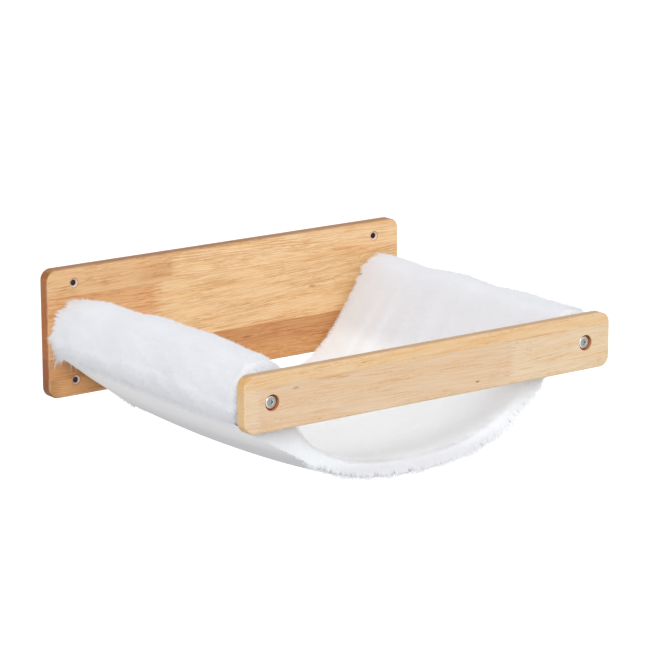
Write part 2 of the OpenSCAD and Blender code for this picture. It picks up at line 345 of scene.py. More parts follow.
class Graph:
    """Adds nodes to a node tree and links them."""

    def __init__(self, tree):
        self.tree = tree

    def put(self, node, inputs):
        """Links or sets the inputs of a node, named with underscores for spaces."""
        for key, value in inputs.items():
            socket = node.inputs[key.replace("_", " ") if isinstance(key, str) else key]
            if isinstance(value, bpy.types.NodeSocket):
                self.tree.links.new(value, socket)
            elif socket.type == "RGBA":
                socket.default_value = (*value, 1.0)
            else:
                socket.default_value = value

    def set_shader(self, shader, **inputs):
        """Links or sets the inputs of a shader."""
        self.put(shader, inputs)

    def node(self, kind, inputs=None, **settings):
        """A shader node with these settings and inputs."""
        made = self.tree.nodes.new("ShaderNode" + kind)
        for key, value in settings.items():
            setattr(made, key, value)
        self.put(made, inputs or {})
        return made

    def maths(self, operation, *values):
        """Result of a Math node."""
        return self.node("Math", dict(enumerate(values)), operation=operation).outputs[0]

    def vector(self, operation, *values):
        """Result of a Vector Math node."""
        return self.node("VectorMath", dict(enumerate(values)), operation=operation).outputs[0]

    def times(self, first, second):
        """Product of two values."""
        return self.maths("MULTIPLY", first, second)

    def parts(self, vector):
        """The X, Y and Z of a vector."""
        return self.node("SeparateXYZ", {"Vector": vector}).outputs

    def joined(self, x, y, z):
        """The vector of these three values."""
        return self.node("CombineXYZ", {"X": x, "Y": y, "Z": z}).outputs[0]

    def length(self, vector):
        """Length of a vector."""
        return self.node("VectorMath", {0: vector}, operation="LENGTH").outputs["Value"]

    def mixed(self, share, first, second, blend="MIX"):
        """Colour between two colours."""
        inputs = {"Factor": share, 6: first, 7: second}
        return self.node("Mix", inputs, data_type="RGBA", blend_type=blend).outputs[2]

    def stepped(self, value, low, high, to_low=0.0, to_high=1.0):
        """Value carried smoothly from one range to another and held at its ends."""
        inputs = {"Value": value, "From Min": low, "From Max": high}
        inputs.update({"To Min": to_low, "To Max": to_high})
        made = self.node("MapRange", inputs, interpolation_type="SMOOTHSTEP")
        return made.outputs["Result"]

    def noise(self, vector, scale, detail=2.0, roughness=0.5, output="Fac"):
        """Noise over a vector in millimetres."""
        inputs = {"Vector": vector, "Scale": scale, "Detail": detail, "Roughness": roughness}
        return self.node("TexNoise", inputs).outputs[output]

    def group(self, tree, **inputs):
        """Outputs of a node group with these inputs."""
        return self.node("Group", inputs, node_tree=tree).outputs


def shader_group(name, vectors, values, outputs):
    """Turns build(graph, inputs) into a function that gives the node group of this name, with
    these inputs and outputs. The group is made on first use."""

    def wrapped(build):
        @functools.wraps(build)
        def found():
            if name in bpy.data.node_groups:
                return bpy.data.node_groups[name]
            tree = bpy.data.node_groups.new(name, "ShaderNodeTree")
            for socket in vectors + values:
                kind = "NodeSocketVector" if socket in vectors else "NodeSocketFloat"
                tree.interface.new_socket(socket, in_out="INPUT", socket_type=kind)
            for socket in outputs:
                tree.interface.new_socket(socket, in_out="OUTPUT", socket_type="NodeSocketFloat")
            taken = tree.nodes.new("NodeGroupInput")
            given = tree.nodes.new("NodeGroupOutput")
            for socket, value in build(Graph(tree), taken.outputs).items():
                tree.links.new(value, given.inputs[socket])
            return tree

        return found

    return wrapped


# Layers of the grain: millimetres along and across, detail, roughness
GRAIN = {
    "bands": (150.0, 9.0, 2.0, 0.55),
    "lines": (75.0, 1.7, 3.0, 0.6),
    "fibres": (26.0, 0.5, 2.0, 0.6),
    "specks": (5.0, 0.42, 1.0, 0.4),
    "crowd": (60.0, 12.0, 1.0, 0.5),
    "strokes": (45.0, 0.7, 2.0, 0.6),
    "ticks": (14.0, 0.6, 2.0, 0.6),
}


@shader_group(
    "Board Grain", ("Vector",), ("Piece", "Sway"), ("Bands", "Lines", "Dashes", "Pores", "Height")
)
def board_grain(graph, given):
    """Sawn wood: long bands, fine lines, dashes and short pores along X."""
    draw = graph.node("TexWhiteNoise", {"W": given["Piece"]}, noise_dimensions="1D").outputs
    shift = graph.vector("MULTIPLY", draw["Color"], (731.0, 517.0, 311.0))
    parts = graph.parts(given["Vector"])
    skew = graph.maths("MULTIPLY_ADD", draw["Value"], 0.07, -0.035)
    leaned = graph.maths("MULTIPLY_ADD", parts["X"], skew, parts["Z"])
    slow = graph.joined(graph.times(parts["X"], 0.16), parts["Y"], leaned)
    warp = graph.noise(graph.vector("ADD", slow, shift), 0.085)
    swayed = graph.maths("MULTIPLY_ADD", warp, given["Sway"], leaned)
    layer = {}
    for name, (along, across, detail, roughness) in GRAIN.items():
        stretched = graph.joined(
            graph.maths("DIVIDE", parts["X"], along),
            graph.maths("DIVIDE", parts["Y"], across),
            graph.maths("DIVIDE", swayed, across),
        )
        place = graph.vector("ADD", stretched, shift)
        layer[name] = graph.noise(place, 1.0, detail, roughness)
    pores = graph.times(
        graph.stepped(layer["specks"], 0.6, 0.72), graph.stepped(layer["crowd"], 0.38, 0.6)
    )
    marks = graph.maths(
        "MAXIMUM",
        graph.stepped(layer["strokes"], 0.48, 0.6),
        graph.stepped(layer["ticks"], 0.5, 0.64),
    )
    dashes = graph.times(marks, graph.stepped(layer["crowd"], 0.3, 0.6, 0.4, 1.0))
    flow = graph.maths("MULTIPLY_ADD", layer["lines"], 0.6, graph.times(layer["fibres"], 0.4))
    return {
        "Bands": layer["bands"],
        "Lines": flow,
        "Dashes": dashes,
        "Pores": pores,
        "Height": graph.maths("SUBTRACT", flow, pores),
    }


@shader_group("Finger Joint", (), ("Along", "Height", "Joint", "Reach", "Pitch"), ("Past", "Line"))
def finger_joint(graph, given):
    """Toothed joint across a stave: what lies past it, and its glue line."""
    tooth = graph.maths("PINGPONG", graph.maths("DIVIDE", given["Height"], given["Pitch"]), 0.5)
    reach = graph.times(given["Reach"], graph.maths("MULTIPLY_ADD", tooth, 2, -0.5))
    gap = graph.maths("SUBTRACT", given["Along"], graph.maths("ADD", given["Joint"], reach))
    slope = graph.maths("DIVIDE", graph.times(given["Reach"], 2), given["Pitch"])
    away = graph.maths("DIVIDE", graph.maths("ABSOLUTE", gap), slope)
    line = graph.stepped(away, 0.08, 0.28, 1.0, 0.0)
    return {"Past": graph.maths("GREATER_THAN", gap, 0.0), "Line": line}


@shader_group("Glue Line", (), ("Height", "Level"), ("Above", "Line"))
def glue_line(graph, given):
    """Straight glue line between two staves."""
    gap = graph.maths("SUBTRACT", given["Height"], given["Level"])
    line = graph.stepped(graph.maths("ABSOLUTE", gap), 0.1, 0.45, 1.0, 0.0)
    return {"Above": graph.maths("GREATER_THAN", gap, 0.0), "Line": line}


@shader_group("Edge Wear And Highlight", ("Vector", "Middle", "Half"), ("Reach",), ("Worn_And_Lit",))
def edge_wear_and_highlight(graph, given):
    """Paler edges of a block, partly wear and partly a painted highlight: 1 on an edge, 0 at Reach
    from it.
    """
    offset = graph.vector("SUBTRACT", given["Vector"], given["Middle"])
    offset = graph.vector("ABSOLUTE", offset)
    x, y, z = graph.parts(graph.vector("SUBTRACT", given["Half"], offset))
    low = graph.maths("MINIMUM", x, graph.maths("MINIMUM", y, z))
    high = graph.maths("MAXIMUM", x, graph.maths("MAXIMUM", y, z))
    total = graph.maths("ADD", x, graph.maths("ADD", y, z))
    middle = graph.maths("SUBTRACT", graph.maths("SUBTRACT", total, low), high)
    ragged = graph.noise(given["Vector"], 0.12, 3.0, 0.6)
    reach = graph.times(given["Reach"], graph.stepped(ragged, 0.3, 0.7, 0.5, 1.3))
    return {"Worn_And_Lit": graph.stepped(graph.maths("DIVIDE", middle, reach), 0.35, 1.0, 1.0, 0.0)}


@shader_group("Wood Knot", ("Vector", "Centre", "Size"), (), ("Knot",))
def wood_knot(graph, given):
    """Small knot or dark streak: 1 at its centre."""
    sway = graph.noise(given["Vector"], 0.25, 2.0, 0.6, "Color")
    moved = graph.vector("ADD", given["Vector"], graph.vector("MULTIPLY", sway, (4, 0, 1)))
    offset = graph.vector("SUBTRACT", moved, graph.vector("ADD", given["Centre"], (2, 0, 0.5)))
    away = graph.length(graph.vector("DIVIDE", offset, given["Size"]))
    return {"Knot": graph.stepped(away, 0.25, 1.0, 1.0, 0.0)}


@shader_group("Round Holes", ("Vector", "Normal", "Centre"), ("Radius",), ("Front", "Wall"))
def round_holes(graph, given):
    """Holes placed evenly about the middle: 1 within Radius of their axes, on faces that look
    to the front and on the holes' walls."""
    offset = graph.vector("ABSOLUTE", given["Vector"])
    offset = graph.vector("SUBTRACT", offset, given["Centre"])
    away = graph.length(graph.vector("MULTIPLY", offset, (1.0, 0.0, 1.0)))
    inside = graph.maths("LESS_THAN", away, given["Radius"])
    facing = graph.parts(given["Normal"])["Y"]
    front = graph.times(inside, graph.stepped(facing, -0.3, -0.1, 1.0, 0.0))
    level_wall = graph.stepped(graph.maths("ABSOLUTE", facing), 0.3, 0.6, 1.0, 0.0)
    return {"Front": front, "Wall": graph.times(inside, level_wall)}


@shader_group("Soft Mottle", ("Vector",), ("Size",), ("Broad", "Fine"))
def soft_mottle(graph, given):
    """Uneven tone of cloth and metal: broad patches and fine specks."""
    broad = graph.noise(given["Vector"], graph.maths("DIVIDE", 1.0, given["Size"]), 3.0, 0.55)
    fine = graph.noise(given["Vector"], graph.maths("DIVIDE", 9.0, given["Size"]), 2.0, 0.6)
    return {"Broad": broad, "Fine": fine}


def new_material(name):
    """A material with its graph, its Principled shader and its coordinates in millimetres."""
    material = bpy.data.materials.new(name)
    material.use_nodes = True
    graph = Graph(material.node_tree)
    shader = material.node_tree.nodes["Principled BSDF"]
    place = graph.node("TexCoord").outputs["Object"]
    scaled = graph.vector("MULTIPLY", place, (1 / MM,) * 3)
    return material, graph, shader, scaled


def dimmed(colour, share):
    """A colour at this share of its strength."""
    return tuple(share * c for c in colour)


def bumped(graph, height, strength, distance):
    """Normal of a Bump node over a height."""
    return graph.node(
        "Bump", {"Height": height, "Strength": strength, "Distance": distance}
    ).outputs["Normal"]


# Wood

# Staves from the top down: lower edge, joints as (place, reach, tooth pitch), piece colours
BACK_STAVES = (
    (33.5, ((-61.0, 15.0, 3.5),), (shade(234, 195, 149), shade(243, 210, 166))),
    (-23.0, ((-81.0, 14.0, 3.5),), (shade(233, 187, 140), shade(240, 206, 160))),
    (-42.5, (), (shade(208, 155, 105),)),
    (-60.0, ((-191.0, 10.0, 2.2),), (shade(192, 147, 97), shade(216, 165, 112))),
)
FRONT_STAVES = (
    (14.5, (), (shade(234, 204, 163),)),
    (
        -25.0,
        ((-185.0, 6.0, 3.3), (86.0, 7.0, 3.3)),
        (shade(232, 212, 186), shade(228, 203, 174), shade(232, 213, 185)),
    ),
)
# Darker streaks of the front board, in millimetres: place across and up, half length
FRONT_STREAKS = (
    (-172.7, 12.6, 16),
    (-184.5, 19.7, 15),
    (-140.7, 20.7, 8),
    (-111.4, 12.6, 19),
    (-73.8, 20.5, 14),
    (-120.6, 22.7, 11),
    (16.1, 0.5, 20),
    (102.2, -12.8, 13),
    (111.4, 14.6, 46),
    (132.4, 24.0, 38),
)
# Looks of the boards. The tones tint the ends, the long sides and the front rim of those sides,
# which is this many millimetres deep. A spot has its centre, half size, tint and strength.
BACK_LOOK = {
    "staves": BACK_STAVES,
    "side_tone": (0.41, 0.26, 0.115),
    "rim": 1.5,
    "rim_tone": (0.55, 0.42, 0.25),
    "end_tone": (0.50, 0.285, 0.10),
    "wear_and_highlight": 0.55,
    "sway": 3.5,
    "dashes": 0.8,
    "dash_tone": (0.72, 0.53, 0.36),
    "glue": 0.18,
    "spots": (
        ((-176.0, -12.0, 1.0), (16.0, 40.0, 2.0), (0.72, 0.5, 0.34), 0.35),
        ((-84.0, -12.0, 42.0), (30.0, 40.0, 9.0), (0.86, 0.76, 0.66), 0.7),
        ((96.0, -12.0, 6.0), (6.0, 40.0, 2.4), (0.6, 0.38, 0.24), 0.7),
        ((20.0, -12.0, -33.0), (9.0, 40.0, 1.6), (0.6, 0.4, 0.26), 0.6),
    ),
}
FRONT_LOOK = {
    "staves": FRONT_STAVES,
    "side_tone": (0.62, 0.57, 0.53),
    "rim": 4.5,
    "rim_tone": (0.80, 0.72, 0.60),
    "end_tone": (0.96, 0.86, 0.64),
    "wear_and_highlight": 1.0,
    "sway": 8.0,
    "dashes": 0.5,
    "dash_tone": (0.90, 0.68, 0.45),
    "glue": 0.1,
    "spots": (
        ((-148.0, -324.0, 9.1), (5.0, 30.0, 1.7), (0.45, 0.42, 0.38), 0.6),
        ((-98.0, -324.0, 11.0), (11.0, 30.0, 0.9), (0.66, 0.44, 0.26), 0.6),
        ((47.8, -324.0, -16.4), (3.2, 30.0, 1.1), (0.5, 0.2, 0.08), 0.9),
        *(
            ((x, -324.0, z), (half, 30.0, 0.9), (0.82, 0.56, 0.34), 0.5)
            for x, z, half in FRONT_STREAKS
        ),
    ),
}
PORE_TONE = (0.62, 0.42, 0.26)
RIM_FADE = 1.5
# Width of the paler edges, partly wear and partly a painted highlight
WORN_AND_LIT_WIDTH = 1.8


def stave_pieces(graph, parts, staves):
    """Number of the stave piece at each place, and a mask of all glue lines."""
    number, lines, over, first = 0.0, 0.0, None, 0
    for level, joints, colours in staves:
        above, within = 1.0, 0.0
        if level != staves[-1][0]:
            found = graph.group(glue_line(), Height=parts["Z"], Level=level)
            above = found["Above"]
            lines = graph.maths("MAXIMUM", lines, found["Line"])
        row = above if over is None else graph.maths("SUBTRACT", above, over)
        for place, reach, pitch in joints:
            sizes = {"Joint": place, "Reach": reach, "Pitch": pitch}
            found = graph.group(finger_joint(), Along=parts["X"], Height=parts["Z"], **sizes)
            within = graph.maths("ADD", within, found["Past"])
            lines = graph.maths("MAXIMUM", lines, graph.times(row, found["Line"]))
        piece = graph.maths("ADD", within, float(first))
        number = graph.maths("MULTIPLY_ADD", row, piece, number)
        over = above
        first += len(colours)
    return number, lines


def board_material(name, box, settings, look, edge_colour, rims):
    """Finger-jointed board: stave colours, grain, pores, glue lines, spots, edges paler from wear
    and a painted highlight, and the tints of its holes as (centre, radius, colour of the faces
    that look to the front, painted shade on the walls)."""
    low, high = box
    material, graph, shader, place = new_material(name)
    parts = graph.parts(place)
    number, lines = stave_pieces(graph, parts, look["staves"])
    colours = [c for _, _, pieces in look["staves"] for c in pieces]
    at = graph.maths("DIVIDE", graph.maths("ADD", number, 0.5), len(colours))
    ramp = graph.node("ValToRGB", {"Fac": at})
    ramp.color_ramp.interpolation = "CONSTANT"
    stops = ramp.color_ramp.elements
    for k, colour in enumerate(colours):
        stop = stops[k] if k < 2 else stops.new(k / len(colours))
        stop.position = k / len(colours)
        stop.color = (*colour, 1.0)
    draw = graph.maths("ADD", number, 1.0)
    grain = graph.group(board_grain(), Vector=place, Piece=draw, Sway=look["sway"])
    normal = graph.node("TexCoord").outputs["Normal"]
    facing = graph.parts(normal)
    ends = graph.stepped(graph.maths("ABSOLUTE", facing["X"]), 0.3, 0.7)
    sides = graph.stepped(graph.maths("ABSOLUTE", facing["Z"]), 0.12, 0.45)
    sides = graph.times(sides, graph.maths("MULTIPLY_ADD", ends, -0.6, 1.0))
    reach = low.y / MM + look["rim"]
    rim = graph.times(sides, graph.stepped(parts["Y"], reach - RIM_FADE, reach, 1.0, 0.0))
    sides = graph.maths("SUBTRACT", sides, rim)
    streak = graph.times(
        graph.stepped(grain["Lines"], 0.56, 0.66), graph.stepped(grain["Bands"], 0.46, 0.62)
    )
    strength = settings.streaks
    tints = [
        (graph.stepped(grain["Lines"], 0.42, 0.68), strength, (0.93, 0.76, 0.56)),
        (graph.stepped(grain["Bands"], 0.35, 0.7), 0.45, (1.0, 0.90, 0.76)),
        (streak, 0.6 * strength + 0.2, (0.86, 0.58, 0.32)),
        (grain["Pores"], 0.5, PORE_TONE),
        (grain["Dashes"], look["dashes"], look["dash_tone"]),
        (lines, look["glue"], (0.55, 0.36, 0.22)),
    ]
    for centre, size, tint, depth in look["spots"]:
        knot = graph.group(wood_knot(), Vector=place, Centre=centre, Size=size)["Knot"]
        tints.append((knot, depth, tint))
    tints += [
        (ends, 1.0, look["end_tone"]),
        (rim, 1.0, look["rim_tone"]),
        (sides, 1.0, look["side_tone"]),
    ]
    colour = ramp.outputs["Color"]
    for mask, share, tint in tints:
        colour = graph.mixed(graph.times(mask, share), colour, tint, "MULTIPLY")
    middle, half = tuple((low + high) / 2 / MM), tuple((high - low) / 2 / MM)
    # Paler edges: partly wear, partly a painted highlight along the rounded edges
    worn_and_lit = graph.group(edge_wear_and_highlight(), Vector=place, Middle=middle, Half=half, Reach=WORN_AND_LIT_WIDTH)
    worn_and_lit = graph.times(worn_and_lit["Worn_And_Lit"], graph.maths("SUBTRACT", 1.0, sides))
    worn_and_lit = graph.times(worn_and_lit, settings.wear_and_highlight * look["wear_and_highlight"])
    colour = graph.mixed(worn_and_lit, colour, edge_colour)
    # Painted shade on the walls of the holes, and on the floor of the front board's counterbores
    centre, radius, front_colour, wall_shade = rims
    hole = graph.group(round_holes(), Vector=place, Normal=normal, Centre=centre, Radius=radius)
    colour = graph.mixed(hole["Front"], colour, front_colour)
    colour = graph.mixed(hole["Wall"], colour, wall_shade)
    graph.set_shader(
        shader,
        Base_Color=colour,
        Roughness=graph.stepped(grain["Lines"], 0.3, 0.75, 0.44, 0.56),
        Normal=bumped(graph, grain["Height"], 0.25, 0.00015),
        Specular_IOR_Level=0.35,
    )
    return material


def rod_material(settings):
    """Turned rods: one length of straight-grained wood."""
    material, graph, shader, place = new_material("rod_wood")
    parts = graph.parts(place)
    lengthwise = graph.joined(parts["Y"], parts["X"], parts["Z"])
    draw = graph.maths("ADD", graph.maths("GREATER_THAN", parts["X"], 0.0), 20.0)
    grain = graph.group(board_grain(), Vector=lengthwise, Piece=draw, Sway=3.0)
    warm = graph.stepped(grain["Lines"], 0.4, 0.7, 0.0, settings.streaks)
    colour = graph.mixed(warm, tuple(settings.rod_colour), shade(200, 152, 102))
    colour = graph.mixed(graph.times(grain["Pores"], 0.5), colour, PORE_TONE, "MULTIPLY")
    graph.set_shader(
        shader,
        Base_Color=colour,
        Roughness=graph.stepped(grain["Lines"], 0.3, 0.75, 0.46, 0.6),
        Normal=bumped(graph, grain["Height"], 0.3, 0.00015),
        Specular_IOR_Level=0.35,
    )
    return material


def rounded_outline(half_w, half_h, corner, inset, steps):
    """Points of a rounded rectangle in XZ that is drawn in by inset."""
    points = []
    for q, (sx, sz) in enumerate(((1, 1), (-1, 1), (-1, -1), (1, -1))):
        for k in range(steps + 1):
            a = math.radians(90 * (q + k / steps))
            points.append(
                (
                    sx * (half_w - corner) + (corner - inset) * math.cos(a),
                    sz * (half_h - corner) + (corner - inset) * math.sin(a),
                )
            )
    return points


CORNER_STEPS, EDGE_STEPS, HOLE_STEPS = 12, 5, 48


def make_board(name, box, holes, settings):
    """Board with rounded corners and edges, and holes given as (x, z, profile)."""
    low, high = box
    half_w, half_h = (high.x - low.x) / 2 / MM, (high.z - low.z) / 2 / MM
    middle_z = (high.z + low.z) / 2 / MM
    front, back = low.y / MM, high.y / MM
    corner, edge = settings.corner_radius / MM, settings.edge_rounding / MM
    quarter = [math.pi / 2 * k / EDGE_STEPS for k in range(EDGE_STEPS + 1)]
    rings = [(edge * (1 - math.sin(a)), front + edge * (1 - math.cos(a))) for a in quarter]
    rings += [(inset, back - (y - front)) for inset, y in reversed(rings)]
    points = []
    for inset, y in rings:
        outline = rounded_outline(half_w, half_h, corner, inset, CORNER_STEPS)
        points += [(x, y, z + middle_z) for x, z in outline]
    count = 4 * (CORNER_STEPS + 1)
    faces = bridge(len(rings), count).tolist()
    front_loops = [list(range(count))]
    back_loops = [list(range(len(points) - count, len(points)))]
    for x, z, profile in holes:
        start = len(points)
        for radius, y in profile:
            for k in range(HOLE_STEPS):
                a = 2 * math.pi * k / HOLE_STEPS
                points.append((x + radius * math.cos(a), y, z + radius * math.sin(a)))
        faces += (bridge(len(profile), HOLE_STEPS) + start).tolist()
        front_loops.append(list(range(start, start + HOLE_STEPS)))
        end = start + (len(profile) - 1) * HOLE_STEPS
        back_loops.append(list(range(end, end + HOLE_STEPS)))
    for loops in (front_loops, back_loops):
        order = [i for loop in loops for i in loop]
        cap = tessellate_polygon([[Vector(points[i]) for i in loop] for loop in loops])
        faces += [[order[i] for i in face] for face in cap]
    piece = finished_mesh(name, points, faces, loose_corners=True)
    turn_faces_out(piece)
    crisp(piece, 32)
    return piece


def bolt_hole(first, second, step, front, back, lip):
    """Profile of a hole of two radii that meet at this depth, with a bevel at each end."""
    return [
        (first + lip, front),
        (first, front + lip),
        (first, step),
        (second, step),
        (second, back - lip),
        (second + lip, back),
    ]


class HAMMOCK_OT_boards(bpy.types.Operator):
    """Build the back board and the front board with their holes"""

    bl_idname = "hammock.boards"
    bl_label = "Boards"

    def execute(self, context):
        s = context.scene.hammock_boards
        lip, deep = s.hole_lip / MM, s.pocket_depth / MM
        widths = (s.pocket_width, s.bolt_hole, s.hole_width, s.sink_width)
        pocket_r, bolt_r, hole_r, sink_r = (width / 2 / MM for width in widths)
        front, back = BACK_BOX[0].y / MM, BACK_BOX[1].y / MM
        wall_hole = [
            (sink_r + lip, front),
            (sink_r, front + lip * 0.6),
            (hole_r, front + (sink_r - hole_r)),
            (hole_r, back - lip),
            (hole_r + lip, back),
        ]
        far_x = BACK_BOX[1].x / MM - s.hole_inset / MM
        far_z = BACK_BOX[1].z / MM - s.hole_edge / MM
        wall_holes = [(sx * far_x, sz * far_z, wall_hole) for sx in (-1, 1) for sz in (-1, 1)]
        back_bolts = bolt_hole(bolt_r, pocket_r, back - deep, front, back, lip)
        # Paler countersinks of the wall holes, and painted shade on the walls of these holes
        back_rims = ((far_x, 0.0, far_z), sink_r - 0.3, shade(226, 196, 178), shade(70, 44, 30))
        front, back = FRONT_BOX[0].y / MM, FRONT_BOX[1].y / MM
        front_bolts = bolt_hole(pocket_r, bolt_r, front + deep, front, back, lip)
        # Painted shade in the bolts' counterbores: darker floor and darker walls
        front_pocket_shade = ((ROD_X, 0.0, 0.0), pocket_r + 0.1, shade(190, 135, 98), shade(205, 140, 100))
        for side, box, look, edge, holes, profile, rims in (
            ("back", BACK_BOX, BACK_LOOK, s.back_edge, wall_holes, back_bolts, back_rims),
            ("front", FRONT_BOX, FRONT_LOOK, s.front_edge, [], front_bolts, front_pocket_shade),
        ):
            holes = holes + [(sx * ROD_X, 0.0, profile) for sx in (-1, 1)]
            board = make_board(f"{side}_board_wood", box, holes, s)
            material = board_material(f"{side}_wood", box, s, look, tuple(edge), rims)
            dress(board, material, f"{side}_wood", f"{side}_board")
        return {"FINISHED"}


class HAMMOCK_OT_rods(bpy.types.Operator):
    """Finish the two rods of the frame"""

    bl_idname = "hammock.rods"
    bl_label = "Rods"

    def execute(self, context):
        material = rod_material(context.scene.hammock_boards)
        for name in RODS:
            dress_node(name, material)
        return {"FINISHED"}


# Bolts and inserts


def metal_material(name, colour, roughness, painted_highlight):
    """Plated metal with faint smudges, and a painted highlight where its edges are rounded."""
    material, graph, shader, place = new_material(name)
    mottle = graph.group(soft_mottle(), Vector=place, Size=4.0)
    smudges = graph.stepped(mottle["Broad"], 0.35, 0.7, 0.0, 0.35)
    tone = graph.mixed(smudges, colour, dimmed(colour, 0.8))
    facing = graph.parts(graph.node("TexCoord").outputs["Normal"])
    forward = graph.maths("ABSOLUTE", facing["Y"])
    # Painted highlight: the rounded edges take a paler colour
    rounding = graph.times(graph.stepped(forward, 0.99, 0.93), graph.stepped(forward, 0.1, 0.4))
    tone = graph.mixed(rounding, tone, painted_highlight)
    rough = graph.stepped(mottle["Fine"], 0.3, 0.7, roughness - 0.05, roughness + 0.09)
    graph.set_shader(
        shader,
        Base_Color=tone,
        Metallic=1.0,
        Roughness=rough,
        Normal=bumped(graph, mottle["Fine"], 0.15, 0.00003),
    )
    return material


BOLT_STEPS = 48
# Bolt's shank: radius, depth of its thread, plain length below the head, and bevel of its end
SHANK_R, THREAD_CUT, PLAIN, END_BEVEL = 3.0, 0.55, 1.2, 0.8
THREAD_STEPS = 6
# Bolt head from the socket's rim to the shank, in millimetres: radius, depth below the top
HEAD_PROFILE = (
    (2.75, 0.05),
    (2.95, 0.0),
    (4.25, 0.03),
    (4.7, 0.13),
    (5.1, 0.31),
    (5.42, 0.58),
    (5.64, 0.92),
    (5.75, 1.35),
    (5.75, 3.12),
    (5.58, 3.3),
    (3.05, 3.3),
)


def make_bolt(name, node, settings):
    """Socket bolt with a hex recess and a rolled thread, in the place of its CAD node."""
    low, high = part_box(node)
    forward = 1 if "front" in node else -1
    top = (low.y if forward > 0 else high.y) / MM
    length = (high.y - low.y) / MM
    middle = ((low.x + high.x) / 2 / MM, (low.z + high.z) / 2 / MM)
    turn = 2 * np.pi * np.arange(BOLT_STEPS) / BOLT_STEPS
    flat = settings.hex_width / 2 / MM
    hexagon = flat / np.cos(np.mod(turn, np.pi / 3) - np.pi / 6)
    deep, pitch = settings.hex_depth / MM, settings.thread_pitch / MM
    rings = [(hexagon, deep), (hexagon, 0.3), (hexagon + 0.22, 0.08)]
    rings += [(np.full(BOLT_STEPS, r), h) for r, h in HEAD_PROFILE]
    plain, tip = settings.head_height / MM + PLAIN, length - END_BEVEL
    for h in np.arange(plain, tip, pitch / THREAD_STEPS):
        wave = np.mod(h / pitch - turn / (2 * np.pi), 1.0)
        ridge = np.clip(2.4 * np.abs(wave - 0.5) - 0.1, 0, 1)
        fade = min(1.0, (h - plain) / pitch)
        rings.append((SHANK_R - THREAD_CUT * fade * (1 - ridge), h))
    rings += [(np.full(BOLT_STEPS, 2.45), tip), (np.full(BOLT_STEPS, 2.0), length)]
    points = []
    for radius, h in rings:
        x = middle[0] + radius * np.cos(turn)
        z = middle[1] + radius * np.sin(turn)
        points += list(zip(x, np.full(BOLT_STEPS, top + forward * h), z))
    faces = bridge(len(rings), BOLT_STEPS).tolist()
    last = (len(rings) - 1) * BOLT_STEPS
    bottom, end = len(points), len(points) + 1
    points += [(middle[0], top + forward * h, middle[1]) for h in (deep + 0.5, length)]
    for k in range(BOLT_STEPS):
        after = (k + 1) % BOLT_STEPS
        faces += [[after, k, bottom], [last + k, last + after, end]]
    piece = finished_mesh(name, points, faces, loose_corners=True)
    turn_faces_out(piece)
    crisp(piece, 38)
    return piece


class HAMMOCK_OT_bolts(bpy.types.Operator):
    """Build the four bolts and finish the inserts that they screw into"""

    bl_idname = "hammock.bolts"
    bl_label = "Bolts and Inserts"

    def execute(self, context):
        s = context.scene.hammock_bolts
        # The pale steel colour is a painted highlight on the bolts' rounded edges
        steel = metal_material("bolt_metal", tuple(s.steel), 0.22, (0.86, 0.87, 0.85))
        zinc = metal_material("insert_metal", tuple(s.zinc), 0.38, tuple(s.zinc))
        for corner in CORNERS:
            bolt = make_bolt(f"{corner}_bolt_steel", f"{corner}_bolt", s)
            dress(bolt, steel, "bolt_metal", f"{corner}_bolt")
        for corner in CORNERS:
            dress_node(f"{corner}_insert", zinc)
        return {"FINISHED"}


# Section of the cloth


def along(t, values):
    """A value at depth t, from 0 at the back to 1 at the front, through three values."""
    back, mid, front = values
    return back * (1 - t) * (1 - 2 * t) + mid * 4 * t * (1 - t) + front * t * (2 * t - 1)


def ray(degrees):
    """Unit vectors at these angles in XZ."""
    a = np.radians(degrees)
    return np.stack([np.cos(a), np.sin(a)], -1)


def turned(v):
    """Vectors a quarter turn to the left."""
    return np.stack([-v[..., 1], v[..., 0]], -1)


def unit(v):
    """Vectors of length 1."""
    return v / np.linalg.norm(v, axis=-1, keepdims=True)


def cubic(p, s):
    """Points of a cubic curve and its directions."""
    s = np.asarray(s)[:, None]
    place = (1 - s) ** 3 * p[0] + 3 * s * (1 - s) ** 2 * p[1]
    place = place + 3 * s * s * (1 - s) * p[2] + s**3 * p[3]
    way = (1 - s) ** 2 * (p[1] - p[0]) + 2 * s * (1 - s) * (p[2] - p[1]) + s * s * (p[3] - p[2])
    return place, unit(way)


def left_radius(degrees, t):
    """Radius of the left pocket's pile at an angle."""
    crown = along(t, CROWN) * np.maximum(0, np.cos(np.radians(degrees - CROWN_AT))) ** 2
    return TIGHT_R + along(t, SLACK) + crown


def sling_curve(top, way, side, t):
    """Handles of the curve from a pocket to the sling's lowest line."""
    low = np.array([LOW_X, -along(t, SAG)])
    rise, run = top[1] - low[1], top[0] - low[0]
    return [
        top,
        top + WALL_PULL[side] * rise * way,
        low + np.array([FLOOR_PULL[side] * run, 0.0]),
        low,
    ]


